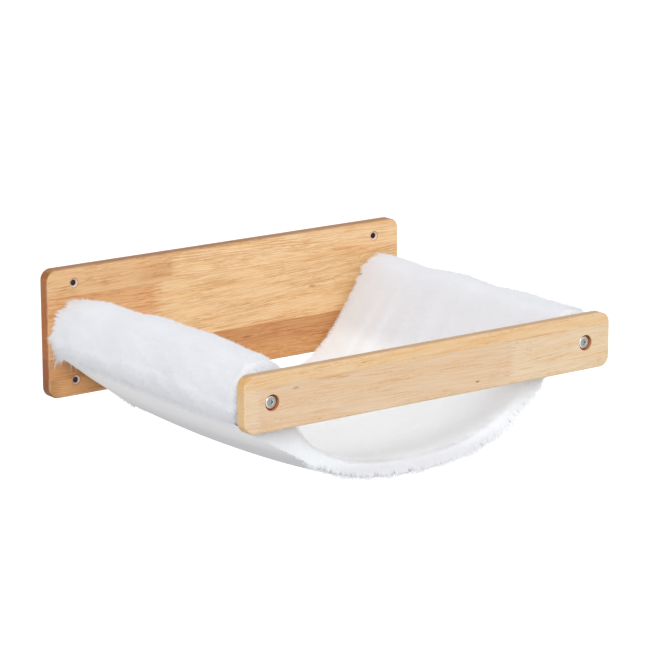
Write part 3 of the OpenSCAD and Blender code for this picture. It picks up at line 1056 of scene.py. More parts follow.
def pile_section(t):
    """Pile side of the plush at depth t: points, outward directions, and the fold share and the
    step along the section at each."""
    s = np.linspace(0, 1, SECTION_STEPS + 1)
    share = np.sin(np.pi * s)
    fade = np.sin(np.pi * s) * (1 - s)
    a = np.linspace(LEFT_SEAM, LEFT_END, SECTION_STEPS + 1)
    out = ray(a)
    rod = np.array([ROD_X, 0.0])
    left_arc = -rod + left_radius(a, t)[:, None] * out
    left, way = cubic(sling_curve(left_arc[-1], np.array([0.0, -1.0]), 0, t), s)
    right_out = ray(np.linspace(RIGHT_START, RIGHT_SEAM, SECTION_STEPS + 1))
    right_arc = rod + TIGHT_R * right_out
    right, back_way = cubic(sling_curve(right_arc[0], turned(right_out[0]), 1, t), s)
    points = np.concatenate([left_arc, left[1:], right[-2:0:-1], right_arc])
    ways = np.concatenate([out, turned(way[1:]), -turned(back_way[-2:0:-1]), right_out])
    shares = np.concatenate([share, fade[1:], fade[-2:0:-1], share])
    first, last = ARC_STEPS[0], ARC_STEPS[0] + 2 * WALL_STEPS
    steps = [
        np.linspace(0, first, SECTION_STEPS + 1),
        np.linspace(first, last, 2 * SECTION_STEPS + 1)[1:-1],
        np.linspace(last, last + ARC_STEPS[1], SECTION_STEPS + 1),
    ]
    return points, ways, np.column_stack([shares, np.concatenate(steps)])


def swell(step, t):
    """Height of the swells and hollows, in fold heights."""
    height = 0.0
    for at_step, at_t, half_steps, half_t, rise in SWELLS:
        across = np.maximum(0, 1 - ((step - at_step) / half_steps) ** 2) ** 2
        height = height + rise * across * np.maximum(0, 1 - ((t - at_t) / half_t) ** 2) ** 2
    return height


def steps_along(line):
    """Lengths of the steps from point to point of a line, or from row to row of a grid."""
    return np.linalg.norm(np.diff(line, axis=0), axis=-1)


def summed(steps):
    """Running total of these steps, from 0."""
    return np.concatenate([[0], np.cumsum(steps)])


def spread(points, values, shares):
    """Values at these shares of the length of a line of points."""
    run = summed(steps_along(points))
    return np.stack([np.interp(shares * run[-1], run, column) for column in values.T], 1)


class Plush:
    """The plush at these places from the back edge and these shares from seam to seam."""

    def __init__(self, places, shares):
        self.places, self.shares = places, shares
        self.t = places / CLOTH_LEN
        rows = []
        for t in self.t:
            points, ways, marks = pile_section(t)
            rows.append(spread(points, np.column_stack([points, ways, marks]), shares))
        grid = np.array(rows)
        self.pile = grid[:, :, 0:2]
        self.out = unit(grid[:, :, 2:4])
        self.share, self.step = grid[:, :, 4], grid[:, :, 5]
        steps = np.linalg.norm(np.diff(self.pile, axis=1), axis=2)
        self.run = np.concatenate([np.zeros((len(places), 1)), np.cumsum(steps, 1)], 1)
        self.deep = np.broadcast_to(places[:, None], self.run.shape)

    def fold(self):
        """Height of the folds that run from rod to rod, and of the swells."""
        t = self.t[:, None]
        wave = np.sin(2 * np.pi * FOLD_COUNT * t) * np.sin(np.pi * t)
        return FOLD_H * (self.share * wave + swell(self.step, t))

    def points(self, offset):
        """Points of the sheet at an offset out from the pile side."""
        section = self.pile + np.asarray(offset)[..., None] * self.out
        return np.stack([section[..., 0], CLOTH_BACK - self.deep, section[..., 1]], -1)

    def normals(self):
        """Outward directions in space."""
        return np.stack([self.out[..., 0], np.zeros_like(self.share), self.out[..., 1]], -1)


def lattice_noise(x, y, cell_x, cell_y, seed):
    """Smooth noise from -1 to 1 with these cells, the same for the same seed."""
    rng = np.random.default_rng(seed)
    table = rng.uniform(-1, 1, (256, 256))
    gx, gy = np.asarray(x) / cell_x + 512, np.asarray(y) / cell_y + 512
    ix, iy = np.floor(gx).astype(int), np.floor(gy).astype(int)
    fx, fy = gx - ix, gy - iy
    fx, fy = fx * fx * (3 - 2 * fx), fy * fy * (3 - 2 * fy)

    def at(dx, dy):
        return table[(ix + dx) % 256, (iy + dy) % 256]

    low = at(0, 0) * (1 - fx) + at(1, 0) * fx
    high = at(0, 1) * (1 - fx) + at(1, 1) * fx
    return low * (1 - fy) + high * fy


def blurred(grid, passes):
    """A grid after repeated averaging with its neighbours."""
    for _ in range(passes):
        padded = np.pad(grid, 1, mode="edge")
        grid = (
            padded[1:-1, 1:-1] * 4
            + padded[:-2, 1:-1]
            + padded[2:, 1:-1]
            + padded[1:-1, :-2]
            + padded[1:-1, 2:]
        ) / 8
    return grid


WRINKLE_ACROSS, WRINKLE_DEEP, WRINKLE_FRAMES = 121, 61, 26
WRINKLE_CLOTH = {
    "vertex_group_mass": "hold",
    "quality": 6,
    "mass": 0.4,
    "tension_stiffness": 25,
    "compression_stiffness": 25,
    "shear_stiffness": 12,
    "bending_stiffness": 1.5,
    "shrink_min": -0.035,
}
# Half width of the strip over each rod that the simulation holds
HELD_HALF = 9


def cloth_wrinkles(limit):
    """Heights of the wrinkles that a cloth simulation of the sling settles into."""
    plush = Plush(np.linspace(0, CLOTH_LEN, WRINKLE_DEEP), np.linspace(0, 1, WRINKLE_ACROSS))
    start = plush.points(-PLUSH_T / 2)
    index = np.arange(start[..., 0].size).reshape(WRINKLE_DEEP, WRINKLE_ACROSS)
    cloth = finished_mesh("wrinkle_cloth", start.reshape(-1, 3), quads(index))
    hold = cloth.vertex_groups.new(name="hold")
    from_rod = np.abs(start[..., 0]) - ROD_X
    held = (np.abs(from_rod) < HELD_HALF) & (start[..., 2] > 0)
    held[:, :2] = held[:, -2:] = True
    hold.add(index[held].tolist(), 1.0, "REPLACE")
    modifier = cloth.modifiers.new("Cloth", "CLOTH")
    for key, value in WRINKLE_CLOTH.items():
        setattr(modifier.settings, key, value)
    modifier.collision_settings.use_collision = False
    modifier.point_cache.frame_start = 1
    modifier.point_cache.frame_end = WRINKLE_FRAMES
    scene = bpy.context.scene
    scene.frame_start, scene.frame_end = 1, WRINKLE_FRAMES
    for number in range(1, WRINKLE_FRAMES + 1):
        scene.frame_set(number)
    settled = cloth.evaluated_get(bpy.context.evaluated_depsgraph_get())
    co = np.empty(len(settled.data.vertices) * 3, np.float32)
    settled.data.vertices.foreach_get("co", co)
    moved = co.reshape(start.shape) / MM - start
    scene.frame_set(1)
    mesh = cloth.data
    bpy.data.objects.remove(cloth)
    bpy.data.meshes.remove(mesh)
    rise = (moved * plush.normals()).sum(-1)
    rise = blurred(rise, 3) - blurred(rise, 60)
    return limit * np.tanh(rise / limit)


def carried(grid, row, column):
    """Values between the points of a grid, at fractional rows and columns."""
    row = np.clip(row, 0, grid.shape[0] - 1.0001)
    column = np.clip(column, 0, grid.shape[1] - 1.0001)
    r, c = row.astype(int), column.astype(int)
    fr, fc = row - r, column - c
    if grid.ndim == 3:
        fr, fc = fr[..., None], fc[..., None]
    near = grid[r, c] * (1 - fc) + grid[r, c + 1] * fc
    far = grid[r + 1, c] * (1 - fc) + grid[r + 1, c + 1] * fc
    return near * (1 - fr) + far * fr


def rounded(away, radius):
    """Share of the full height at a distance in from a rounded edge."""
    near = np.clip(1 - away / radius, 0, 1)
    return np.sqrt(np.maximum(1 - near * near, 0))


COVER_ACROSS, COVER_DEEP, UNDER_EVERY = 341, 181, 6
EDGE_IN, EDGE_R, EDGE_STEPS_HALF = 2.6, 5.2, 6
# How far in from the edges and from the seams the folds die out
CALM_EDGE, CALM_SEAM = 16.0, 10.0
# How far in the plush gets thinner towards its seams, and the share of it that is left there
SEAM_ROUND, SEAM_THIN = 6.0, 0.12
# Creases beside the left seam: their slant, cell across and along, height, and reach
CREASE_SLANT, CREASE_CELL, CREASE_HEIGHT, CREASE_REACH = 0.45, (17.0, 85.0), 0.7, 110
# Tufts of the dense part: cell, height, seed
TUFTS = ((6.0, 0.3, 11), (2.7, 0.2, 12))


def edge_stations():
    """Places from the back edge of rows that pass round both edges, and their shares of the
    thickness."""
    a = np.radians(np.linspace(-90, 90, 2 * EDGE_STEPS_HALF + 1))
    near, share = EDGE_IN + EDGE_R * (1 - np.cos(a)), (1 + np.sin(a)) / 2
    middle = np.linspace(near[-1], CLOTH_LEN - near[-1], COVER_DEEP)[1:-1]
    places = np.concatenate([near, middle, CLOTH_LEN - near[::-1]])
    return places, np.concatenate([share, np.ones(middle.size), share[::-1]])


@functools.cache
def plush_cover(pile_height, limit):
    """The plush, its rise over the CAD's pile, the height of its dense part over its underside,
    and the share of the thickness at each row."""
    places, share = edge_stations()
    plush = Plush(places, np.linspace(0, 1, COVER_ACROSS))
    rows = plush.t[:, None] * (WRINKLE_DEEP - 1)
    columns = plush.shares[None, :] * (WRINKLE_ACROSS - 1)
    wrinkle = carried(cloth_wrinkles(limit), *np.broadcast_arrays(rows, columns))
    run, deep = plush.run, plush.deep
    inside = np.minimum(deep, CLOTH_LEN - deep)
    beside = np.minimum(run, run[:, -1:] - run)
    calm = rounded(inside, CALM_EDGE) * rounded(beside, CALM_SEAM)
    crease = 1 - np.abs(lattice_noise(run + CREASE_SLANT * deep, deep, *CREASE_CELL, 3))
    crease = CREASE_HEIGHT * (crease**3 - 0.4) * np.clip(1 - run / CREASE_REACH, 0, 1)
    rise = (plush.fold() + wrinkle + crease) * calm
    tuft = sum(high * lattice_noise(run, deep, cell, cell, seed) for cell, high, seed in TUFTS)
    full = SEAM_THIN + (1 - SEAM_THIN) * rounded(beside, SEAM_ROUND)
    full = (PLUSH_T - pile_height + tuft + rise) * full
    return plush, rise, full * share[:, None], share


def quads(index):
    """Quads between the points of a grid, given by the grid of their numbers."""
    corners = (index[:-1, :-1], index[:-1, 1:], index[1:, 1:], index[1:, :-1])
    return np.stack(corners, -1).reshape(-1, 4)


def sheet_mesh(name, top, under, picked):
    """Closed mesh of a grid and its underside, which keeps only the picked rows. The first and
    the last row belong to both."""
    rows, columns = top.shape[:2]
    inner = picked[1:-1]
    points = np.concatenate([top.reshape(-1, 3), under[inner].reshape(-1, 3)])
    index = np.arange(rows * columns).reshape(rows, columns)
    below = np.arange(len(inner) * columns).reshape(-1, columns) + rows * columns
    below = np.concatenate([index[:1], below, index[-1:]])
    faces = quads(index).tolist() + quads(below)[:, ::-1].tolist()
    for column in (0, columns - 1):
        for k in range(len(picked) - 1):
            fan = index[picked[k] : picked[k + 1] + 1, column].tolist()
            ends = [below[k + 1, column], below[k, column]]
            faces.append(fan + [int(i) for i in ends if i not in fan])
    piece = finished_mesh(name, points, faces, loose_corners=True)
    turn_faces_out(piece)
    piece.data.set_sharp_from_angle(angle=math.radians(60))
    return piece


def lay_flat(piece, across, deep):
    """Gives a piece a map that runs across and along the cloth, a share of each point."""
    layer = piece.data.uv_layers.new(name="OFBake")
    corners = np.empty(len(piece.data.loops), np.int32)
    piece.data.loops.foreach_get("vertex_index", corners)
    place = np.stack([across[corners], deep[corners]], 1).astype(np.float32)
    layer.data.foreach_set("uv", place.ravel())


def laid_sheet(name, top, under, picked):
    """Sheet with a map on which its underside lies beyond its upper side."""
    piece = sheet_mesh(name, top, under, picked)
    rows, columns = top.shape[:2]
    across = np.broadcast_to(np.linspace(0, 1, columns), (rows, columns))
    deep = np.broadcast_to(np.linspace(0, 0.5, rows)[:, None], (rows, columns))
    inner = picked[1:-1]
    lay_flat(
        piece,
        np.concatenate([across.ravel(), across[inner].ravel()]),
        np.concatenate([deep.ravel(), 1.0 - deep[inner].ravel()]),
    )
    return piece


# Painted light: colour of the pile where it is lightened against the shade in the lower part of
# the sling.
# Painted shade: tint of the knit away from its seams. Wale and course in millimetres
SHADE_LIFTED_PILE, KNIT_PAINTED_SHADE = (0.925, 0.955, 0.99), (0.71, 0.71, 0.715)
WALE, COURSE = 0.9, 0.75


def cloth_material(name, colour, sheen, weave):
    """White pile or grey knit: uneven tone, soft sheen and a fine relief. The pile is painted
    lighter in the lower part of the sling, against the shade of the hollow and of the front board,
    and the knit gets a painted shade away from its seams, towards the bottom of the sling."""
    material, graph, shader, place = new_material(name)
    broad = graph.group(soft_mottle(), Vector=place, Size=34.0)
    small = graph.group(soft_mottle(), Vector=place, Size=8.0)
    patches = graph.stepped(broad["Broad"], 0.35, 0.7)
    tone = graph.mixed(patches, colour, dimmed(colour, 0.985))
    patches = graph.stepped(small["Broad"], 0.4, 0.7, 0.0, 0.5)
    tone = graph.mixed(patches, tone, (0.98, 0.982, 0.985), "MULTIPLY")
    parts = graph.parts(place)
    if weave:
        share = graph.parts(graph.node("UVMap", uv_map="OFBake").outputs[0])["X"]
        inner = graph.maths("MINIMUM", share, graph.maths("SUBTRACT", 1.0, share))
        # Painted shade: the knit is darker away from its seams, towards the bottom of the sling
        tone = graph.mixed(graph.stepped(inner, 0.05, 0.26), tone, KNIT_PAINTED_SHADE, "MULTIPLY")
        wales = graph.maths("SINE", graph.times(parts["Y"], 2 * math.pi / WALE))
        slope = graph.times(parts["Z"], 1.2)
        leaned = graph.times(graph.maths("ADD", parts["X"], slope), 2 * math.pi / COURSE)
        knit = graph.times(wales, graph.maths("SINE", leaned))
        relief = graph.maths("ADD", graph.times(knit, 0.5), small["Fine"])
        normal = bumped(graph, relief, 0.25, 0.0001)
    else:
        # Painted light: the pile is lightened in the hollow and on the front below the board,
        # where they lie in shade
        low = graph.stepped(parts["Z"], -46.0, -26.0, 1.0, 0.0)
        behind = graph.stepped(parts["Y"], CLOTH_FRONT + 5.0, CLOTH_FRONT + 14.0)
        cheek = graph.times(low, graph.stepped(parts["Z"], -84.0, -62.0))
        shade_lifted = graph.maths("MAXIMUM", graph.times(low, behind), cheek)
        tone = graph.mixed(shade_lifted, tone, SHADE_LIFTED_PILE)
        normal = bumped(graph, small["Fine"], 0.2, 0.0004)
    graph.set_shader(
        shader,
        Base_Color=tone,
        Roughness=graph.stepped(small["Fine"], 0.3, 0.7, 0.82, 0.95),
        Normal=normal,
        Specular_IOR_Level=0.15,
        Sheen_Weight=sheen,
        Sheen_Roughness=0.5,
    )
    return material


class HAMMOCK_OT_plush(bpy.types.Operator):
    """Build the dense part of the plush, wrinkled by a cloth simulation"""

    bl_idname = "hammock.plush"
    bl_label = "Plush Sheet"

    def execute(self, context):
        s = context.scene.hammock_plush
        plush, _, height, share = plush_cover(s.pile_height / MM, s.wrinkle_limit / MM)
        top = plush.points(height - PLUSH_T)
        under = plush.points(np.full(height.shape, -PLUSH_T))
        rows, skip = len(share), 2 * EDGE_STEPS_HALF + UNDER_EVERY
        picked = [0, *range(skip, rows - skip, UNDER_EVERY), rows - 1]
        piece = laid_sheet("plush_sheet", top, under, picked)
        material = cloth_material("white_plush", tuple(s.colour), 0.25, False)
        dress(piece, material, "white_plush", "plush_panel")
        return {"FINISHED"}


# Pieces of the pile: name and the shares of the plush's width between which it grows
PILE_PARTS = (
    ("left_pocket_pile", 0.0, 0.21),
    ("left_side_pile", 0.21, 0.42),
    ("floor_pile", 0.42, 0.63),
    ("right_side_pile", 0.63, 0.83),
    ("right_pocket_pile", 0.83, 1.0),
)
# Pitch of the lobes along the front, and how far they wander
LOBE_PITCH, LOBE_WANDER = 27, 6
# Place and half width of the front edge's sag, as shares of the plush's width
SAG_AT, SAG_HALF = 0.72, 0.1
# What each feature of the pile adds to a strand's length, as a share of it
LOBE_MORE, SAG_MORE, FLARE_MORE, FRINGE_MORE, DROOP_MORE = 0.65, 2.2, 0.9, 1.3, 2.6
# Pull of the pile outwards and towards the back, and how far in from the edges and from the
# seams it turns outwards
OUTWARD, BACKWARD, EDGE_TURN, SEAM_TURN = 1.8, 0.6, 12, 8
# Width over which a pocket passes into the sling, and how far in from the front the lobes reach
POCKET_TO_SLING, FRONT_REACH = 70, 8
# Distance of the flare from the back, and its half width
FLARE_AT, FLARE_HALF = 13, 8
# How far in from the seams the fringe reaches, and from the back
FRINGE_REACH, FRINGE_FADE = 5, 90
# How far in from the left seam the drooping tufts reach, and from the back
DROOP_REACH, DROOP_FADE = 7, 40
# Places along a strand, and its width there as a share of the full width
STRAND = ((0.0, 0.7), (0.5, 1.0))
# Spread of a clump in clump sizes, depth of the roots, and room beyond the cloth's edges
CLUMP_SPREAD, ROOT_IN, PAST_EDGE = 0.42, 0.5, 2.2
# Pull of the swirls and of the pile's weight, and how far apart the strands are lit
SWIRL, WEIGHT, UNEVEN = 0.35, 0.5, 0.04


def dot(a, b):
    """Dot products of rows of vectors, kept as columns."""
    return (a * b).sum(-1, keepdims=True)


class Nap:
    """A surface on which pile grows: its roots, its frame, and the lengths along it both ways.
    Pile that grows nearer to an end of the path than the edge is lit as the pile there."""

    def __init__(self, base, smooth, outward, across, path, edge=None):
        self.across, self.path = across, path
        self.edge = np.zeros(len(across)) if edge is None else edge
        self.e, self.d = (unit(np.gradient(smooth, axis=axis)) for axis in (1, 0))
        self.n = unit(np.cross(self.e, self.d))
        self.n = self.n * np.sign((self.n * outward).sum())
        self.e, self.d = (unit(w - dot(self.n, w) * self.n) for w in (self.e, self.d))
        self.base = base

    def at(self, x, y):
        """Root, normal and both ways along the surface at lengths across and along its path."""
        row = np.interp(y, self.path, np.arange(len(self.path)))
        column = np.interp(x, self.across, np.arange(len(self.across)))
        found = [carried(g, row, column) for g in (self.base, self.n, self.e, self.d)]
        return found[0], *(unit(g) for g in found[1:])

    def lit(self, x, y):
        """Normals that light the pile at these places."""
        edge = np.interp(x, self.across, self.edge)
        return self.at(x, np.clip(y, edge, self.path[-1] - edge))[1]


def grow_pile(name, nap, settings, seed, x_range, y_range, comb):
    """Piece of pile: narrow strands in clumps that lean with the nap and share their tips.
    comb(x, y) gives the pull across and along, the share of the lean, and the length share."""
    s = settings
    rng = np.random.default_rng([s.seed, seed])
    cell = s.clump_size / MM
    wide, long = x_range[1] - x_range[0], y_range[1] - y_range[0]
    columns, rows = max(2, round(wide / cell)), max(2, round(long / cell))
    j, i = np.meshgrid(np.arange(rows), np.arange(columns), indexing="ij")
    cx = x_range[0] + (i.ravel() + rng.uniform(0.1, 0.9, i.size)) / columns * wide
    cy = y_range[0] + (j.ravel() + rng.uniform(0.1, 0.9, i.size)) / rows * long
    clump = np.repeat(np.arange(cx.size), s.strands)
    x = cx[clump] + rng.normal(0, CLUMP_SPREAD * cell, clump.size)
    y = cy[clump] + rng.normal(0, CLUMP_SPREAD * cell, clump.size)
    x = np.clip(x, nap.across[0] + 0.2, nap.across[-1] - 0.2)
    y = np.clip(y, nap.path[0] + 0.2, nap.path[-1] - 0.2)

    def way(x, y, extra):
        """Roots, normals and growing directions at these places."""
        root, n, e, d = nap.at(x, y)
        swirl_e = lattice_noise(x, y, 38, 38, 21) + 0.5 * lattice_noise(x, y, 11, 11, 22)
        swirl_d = lattice_noise(x, y, 38, 38, 23) + 0.5 * lattice_noise(x, y, 11, 11, 24)
        pull_e, pull_d, share, _ = comb(x, y)
        pull_e = pull_e + SWIRL * swirl_e - WEIGHT * e[:, 2]
        pull_d = pull_d + SWIRL * swirl_d - WEIGHT * d[:, 2]
        flat = pull_e[:, None] * e + pull_d[:, None] * d
        size = np.linalg.norm(flat, axis=1, keepdims=True)
        lean = s.lean * share + math.radians(6) * lattice_noise(x, y, 9, 9, 25) + extra
        lean = np.clip(lean, 0.1, 1.45)[:, None] * np.clip(size / 0.3, 0.8, 1)
        return root, n, np.cos(lean) * n + np.sin(lean) * flat / np.maximum(size, 1e-6)

    root_c, _, grow_c = way(cx, cy, rng.normal(0, 0.08, cx.size))
    long_c = s.strand_length / MM * rng.uniform(0.9, 1.1, cx.size) * comb(cx, cy)[3]
    tip_c = root_c + long_c[:, None] * grow_c
    root, n, grow = way(x, y, rng.normal(0, 0.12, x.size))
    tip = root + (long_c[clump] * rng.uniform(0.8, 1.1, x.size))[:, None] * grow
    tip = tip + s.gather * (tip_c[clump] - tip) * rng.uniform(0.6, 1.2, x.size)[:, None]
    root = root - ROOT_IN * n
    half = np.linalg.norm(tip - root, axis=1, keepdims=True) / 2
    bend = root + half * unit(0.7 * n + 0.7 * grow)
    blade = unit(np.cross(unit(tip - root), n))
    width = s.strand_width / MM * rng.uniform(0.7, 1.3, x.size)[:, None]
    made = []
    for place, share in STRAND:
        middle = (1 - place) ** 2 * root + 2 * place * (1 - place) * bend + place**2 * tip
        made += [middle - blade * width * share / 2, middle + blade * width * share / 2]
    made.append(tip)
    points = np.stack(made, 1)
    points[..., 1] = np.clip(points[..., 1], CLOTH_FRONT - PAST_EDGE, CLOTH_BACK + PAST_EDGE)
    per = points.shape[1]
    corners = []
    for a in range(0, per - 3, 2):
        corners += [(a, a + 1, a + 3), (a, a + 3, a + 2)]
    corners.append((per - 3, per - 2, per - 1))
    faces = (np.arange(x.size) * per)[:, None, None] + np.array(corners)
    # The front of each strand is the side from which the pile around it is lit
    lit = nap.lit(x, y)
    facing = unit(np.cross(blade, unit(tip - root)))
    front = np.where(dot(facing, lit) < 0, -1.0, 1.0)
    faces = np.where(front[:, :, None] < 0, faces[..., ::-1], faces)
    piece = finished_mesh(name, points.reshape(-1, 3), faces.reshape(-1, 3))
    soft = unit(lit + 0.1 * front * facing + rng.normal(0, UNEVEN, n.shape))
    piece.data.normals_split_custom_set_from_vertices(np.repeat(soft, per, 0))
    share_x, share_y = x / nap.across[-1], y / nap.path[-1]
    lay_flat(piece, np.repeat(share_x, per), np.repeat(share_y, per))
    return piece


# Shares of the plush's width between which it is a sling, and the rows from its front and back
# edge whose light the pile beyond them takes, in the sling and in the pockets
SLING_FROM, SLING_TO, POCKET_FADE = 0.2, 0.83, 0.04
SLING_ROW, POCKET_ROW = 7, 12


def plush_nap(s):
    """The plush's pile side as a surface for pile."""
    plush, rise, height, share = plush_cover(s.pile_height / MM, s.wrinkle_limit / MM)
    thick = (PLUSH_T - s.pile_height / MM + rise) * share[:, None]
    step = np.hypot(np.diff(plush.places), np.diff(share) * PLUSH_T)
    path = summed(step)
    across = plush.run.mean(0)
    base, smooth = plush.points(height - PLUSH_T), plush.points(thick - PLUSH_T)
    beside = np.minimum(plush.shares - SLING_FROM, SLING_TO - plush.shares)
    pocket = np.clip(-beside / POCKET_FADE, 0, 1)
    edge = path[SLING_ROW] + pocket * (path[POCKET_ROW] - path[SLING_ROW])
    return Nap(base, smooth, plush.normals(), across, path, edge)


# Rows and columns of a web, points of its arc under the rod, and steps of the section that it
# stays below the pocket's arc
WEB_ROWS, WEB_COLUMNS, WEB_ARC, WEB_START = 19, 45, 20, 6
WEB_THICK, WEB_KEPT = 1.6, 3
# A web's arc: degrees from the seam, ends on the left and on the right, and gap from the rod
WEB_FROM_SEAM, LEFT_ARC_END, RIGHT_ARC_END, ROD_GAP = 4, 345.0, -195.0, 1.4


def mouth_web(end, side, t):
    """Section of a pocket's mouth below the rod, as a grid from the lining up to the middle of
    the plush's edge, with which it lies flush."""
    under, under_out, _ = lining_section(t)
    under = under - LINING_T / 2 * under_out
    line, out, _ = pile_section(t)
    middle = line - PLUSH_T / 2 * out
    if side < 0:
        low = under[: UNDER_STEPS + 1]
        arc = np.linspace(LEFT_SEAM + WEB_FROM_SEAM, LEFT_ARC_END, WEB_ARC)
        wall = middle[SECTION_STEPS + WEB_START : LEFT_AT + 1]
    else:
        low = under[-UNDER_STEPS - 1 :][::-1]
        arc = np.linspace(RIGHT_SEAM - WEB_FROM_SEAM, RIGHT_ARC_END, WEB_ARC)
        wall = middle[RIGHT_AT : 3 * SECTION_STEPS - WEB_START][::-1]
    rim = np.array([side * ROD_X, 0.0]) + (ROD_R + ROD_GAP) * ray(arc)
    high = np.concatenate([rim, wall])
    even = np.linspace(0, 1, WEB_COLUMNS)
    low, high = spread(low, low, even), spread(high, high, even)
    q = np.linspace(0, 1, WEB_ROWS)[:, None, None]
    section = low * (1 - q) + high * q
    x, z = section[..., 0], section[..., 1]
    away = np.linalg.norm(section - low, axis=-1)
    flush = EDGE_IN - 0.2
    back = flush + (LINING_IN - flush) * (1 - rounded(away, PLUSH_T / 4))
    back = back + 0.8 * lattice_noise(x, z * 0.4, 9.0, 11.0, 51) * np.sin(np.pi * q[..., 0])
    y = CLOTH_FRONT + back if end > 0 else CLOTH_BACK - back
    return np.stack([x, y, z], -1)


class HAMMOCK_OT_pile(bpy.types.Operator):
    """Grow the strands of the plush's pile"""

    bl_idname = "hammock.pile"
    bl_label = "Plush Pile"

    def execute(self, context):
        s = context.scene.hammock_plush
        sheet = bpy.data.objects["plush_sheet"]
        nap = plush_nap(s)
        wide, long = nap.across[-1], nap.path[-1]

        def comb(x, y):
            """Towards the back, and outwards round the edges. It stands up in lobes along the
            front, hangs over it on the right, and is longer and tufted at the back of the pockets
            and along the seams."""
            out_d = np.exp((y - long) / EDGE_TURN) - np.exp(-y / EDGE_TURN)
            out_e = np.exp((x - wide) / SEAM_TURN) - np.exp(-x / SEAM_TURN)
            beat = np.pi * (x + LOBE_WANDER * lattice_noise(x, 0 * x, 30, 30, 61)) / LOBE_PITCH
            tuft = np.clip(0.45 + lattice_noise(x, y, 5, 9, 62), 0, 1)
            pocket = np.clip(1.6 - np.minimum(x, wide - x) / POCKET_TO_SLING, 0, 1)
            front = np.exp((y - long) / FRONT_REACH)
            lobe = (1 - pocket) * np.sqrt(np.abs(np.sin(beat))) * front
            flare = tuft * pocket * np.exp(-(((y - FLARE_AT) / FLARE_HALF) ** 2))
            fringe = np.exp(-x / FRINGE_REACH) + np.exp((x - wide) / FRINGE_REACH)
            fringe = tuft * fringe * (0.2 + np.exp(-y / FRINGE_FADE))
            sag = (0.6 + 0.6 * lobe) * front * np.exp(-(((x / wide - SAG_AT) / SAG_HALF) ** 2))
            droop = tuft * np.exp(-x / DROOP_REACH - y / DROOP_FADE)
            stand = 0.2 * lobe + 0.45 * flare + 0.2 * fringe
            length = 1 - (0.25 + 0.3 * pocket) * front + LOBE_MORE * lobe + SAG_MORE * sag
            length = length + FLARE_MORE * flare + FRINGE_MORE * fringe + DROOP_MORE * droop
            pull = OUTWARD * out_d - BACKWARD + 2 * sag
            return OUTWARD * out_e, pull, 1 - stand + 0.3 * sag, length

        def hang(x, y):
            """Down the mouths, and shorter towards their lower border."""
            return 0.3, -0.7, 1.0 + 0 * x, np.clip(0.25 + y / 12, 0, 1)

        pieces = []
        for k, (name, first, last) in enumerate(PILE_PARTS):
            x_range, y_range = (first * wide, last * wide), (1.2, long - 1.2)
            pieces.append(grow_pile(name, nap, s, k, x_range, y_range, comb))
        for end, end_name in ((1, "front"), (-1, "rear")):
            for side, side_name in ((-1, "left"), (1, "right")):
                t = LINING_IN / CLOTH_LEN
                grid = mouth_web(end, side, 1 - t if end > 0 else t)
                inside = grid + np.array([0.0, WEB_THICK * end, 0.0])
                inside[[0, -1]] = grid[[0, -1]]
                name = f"{side_name}_{end_name}_mouth"
                web = sheet_mesh(name, grid, inside, [*range(0, WEB_ROWS, WEB_KEPT)])
                lay_flat(web, *(np.zeros(len(web.data.vertices)),) * 2)
                across = summed(steps_along(grid[WEB_ROWS // 2]))
                path = summed(steps_along(grid).mean(1))
                mouth = Nap(grid, grid, np.array([0.0, -end, 0.0]), across, path)
                trim = (0.4 if end > 0 else 16.0, path[-1])
                seed, x_range = 20 + len(pieces), (1.5, across[-1] - 1.5)
                tufts = grow_pile(name + "_pile", mouth, s, seed, x_range, trim, hang)
                pieces += [web, tufts]
        for piece in pieces:
            piece.parent = sheet
            piece.visible_shadow = piece.visible_diffuse = False
            dress(piece, sheet.data.materials[0], "white_plush")
        return {"FINISHED"}


# Lining


def lining_section(t):
    """Upper side of the lining at depth t: points, outward directions, and shares of the plush's
    folds that it takes."""
    line, ways, _ = pile_section(t)
    under = line - (PLUSH_T + SOFT_GAP) * ways
    step = math.degrees(SOFT_GAP / TIGHT_R)
    left_way, right_way = ray(LEFT_SEAM + step), ray(RIGHT_SEAM - step)
    rod = np.array([ROD_X, 0.0])
    left_at = -rod + (left_radius(LEFT_SEAM, t) - SEAM_IN) * left_way
    right_at = rod + (TIGHT_R - SEAM_IN) * right_way
    start, end = under[LEFT_AT], under[RIGHT_AT]
    left_span = np.linalg.norm(start - left_at)
    right_span = np.linalg.norm(right_at - end)
    left = [
        left_at,
        left_at + left_span * LEFT_UNDER[0] * turned(left_way),
        start + left_span * LEFT_UNDER[1] * turned(ways[LEFT_AT]),
        start,
    ]
    right = [
        end,
        end - right_span * RIGHT_UNDER[1] * turned(ways[RIGHT_AT]),
        right_at - right_span * RIGHT_UNDER[0] * turned(right_way),
        right_at,
    ]
    s = np.linspace(0, 1, UNDER_STEPS + 1)
    left_line, left_head = cubic(left, s)
    right_line, right_head = cubic(right, s)
    shared = slice(LEFT_AT, RIGHT_AT + 1)
    points = np.concatenate([left_line[:-1], under[shared], right_line[1:]])
    ways = np.concatenate([turned(left_head[:-1]), ways[shared], turned(right_head[1:])])
    fade = s[:-1] ** 4
    joined = np.concatenate([fade, np.ones(RIGHT_AT - LEFT_AT + 1), fade[::-1]])
    return points, unit(ways), joined


LINING_ACROSS, LINING_DEEP, LINING_EVERY = 301, 121, 5
# Folds of the lining: height, cell across and along, seed
LINING_FOLDS = ((1.1, 16, 120, 41), (0.5, 7, 60, 42))


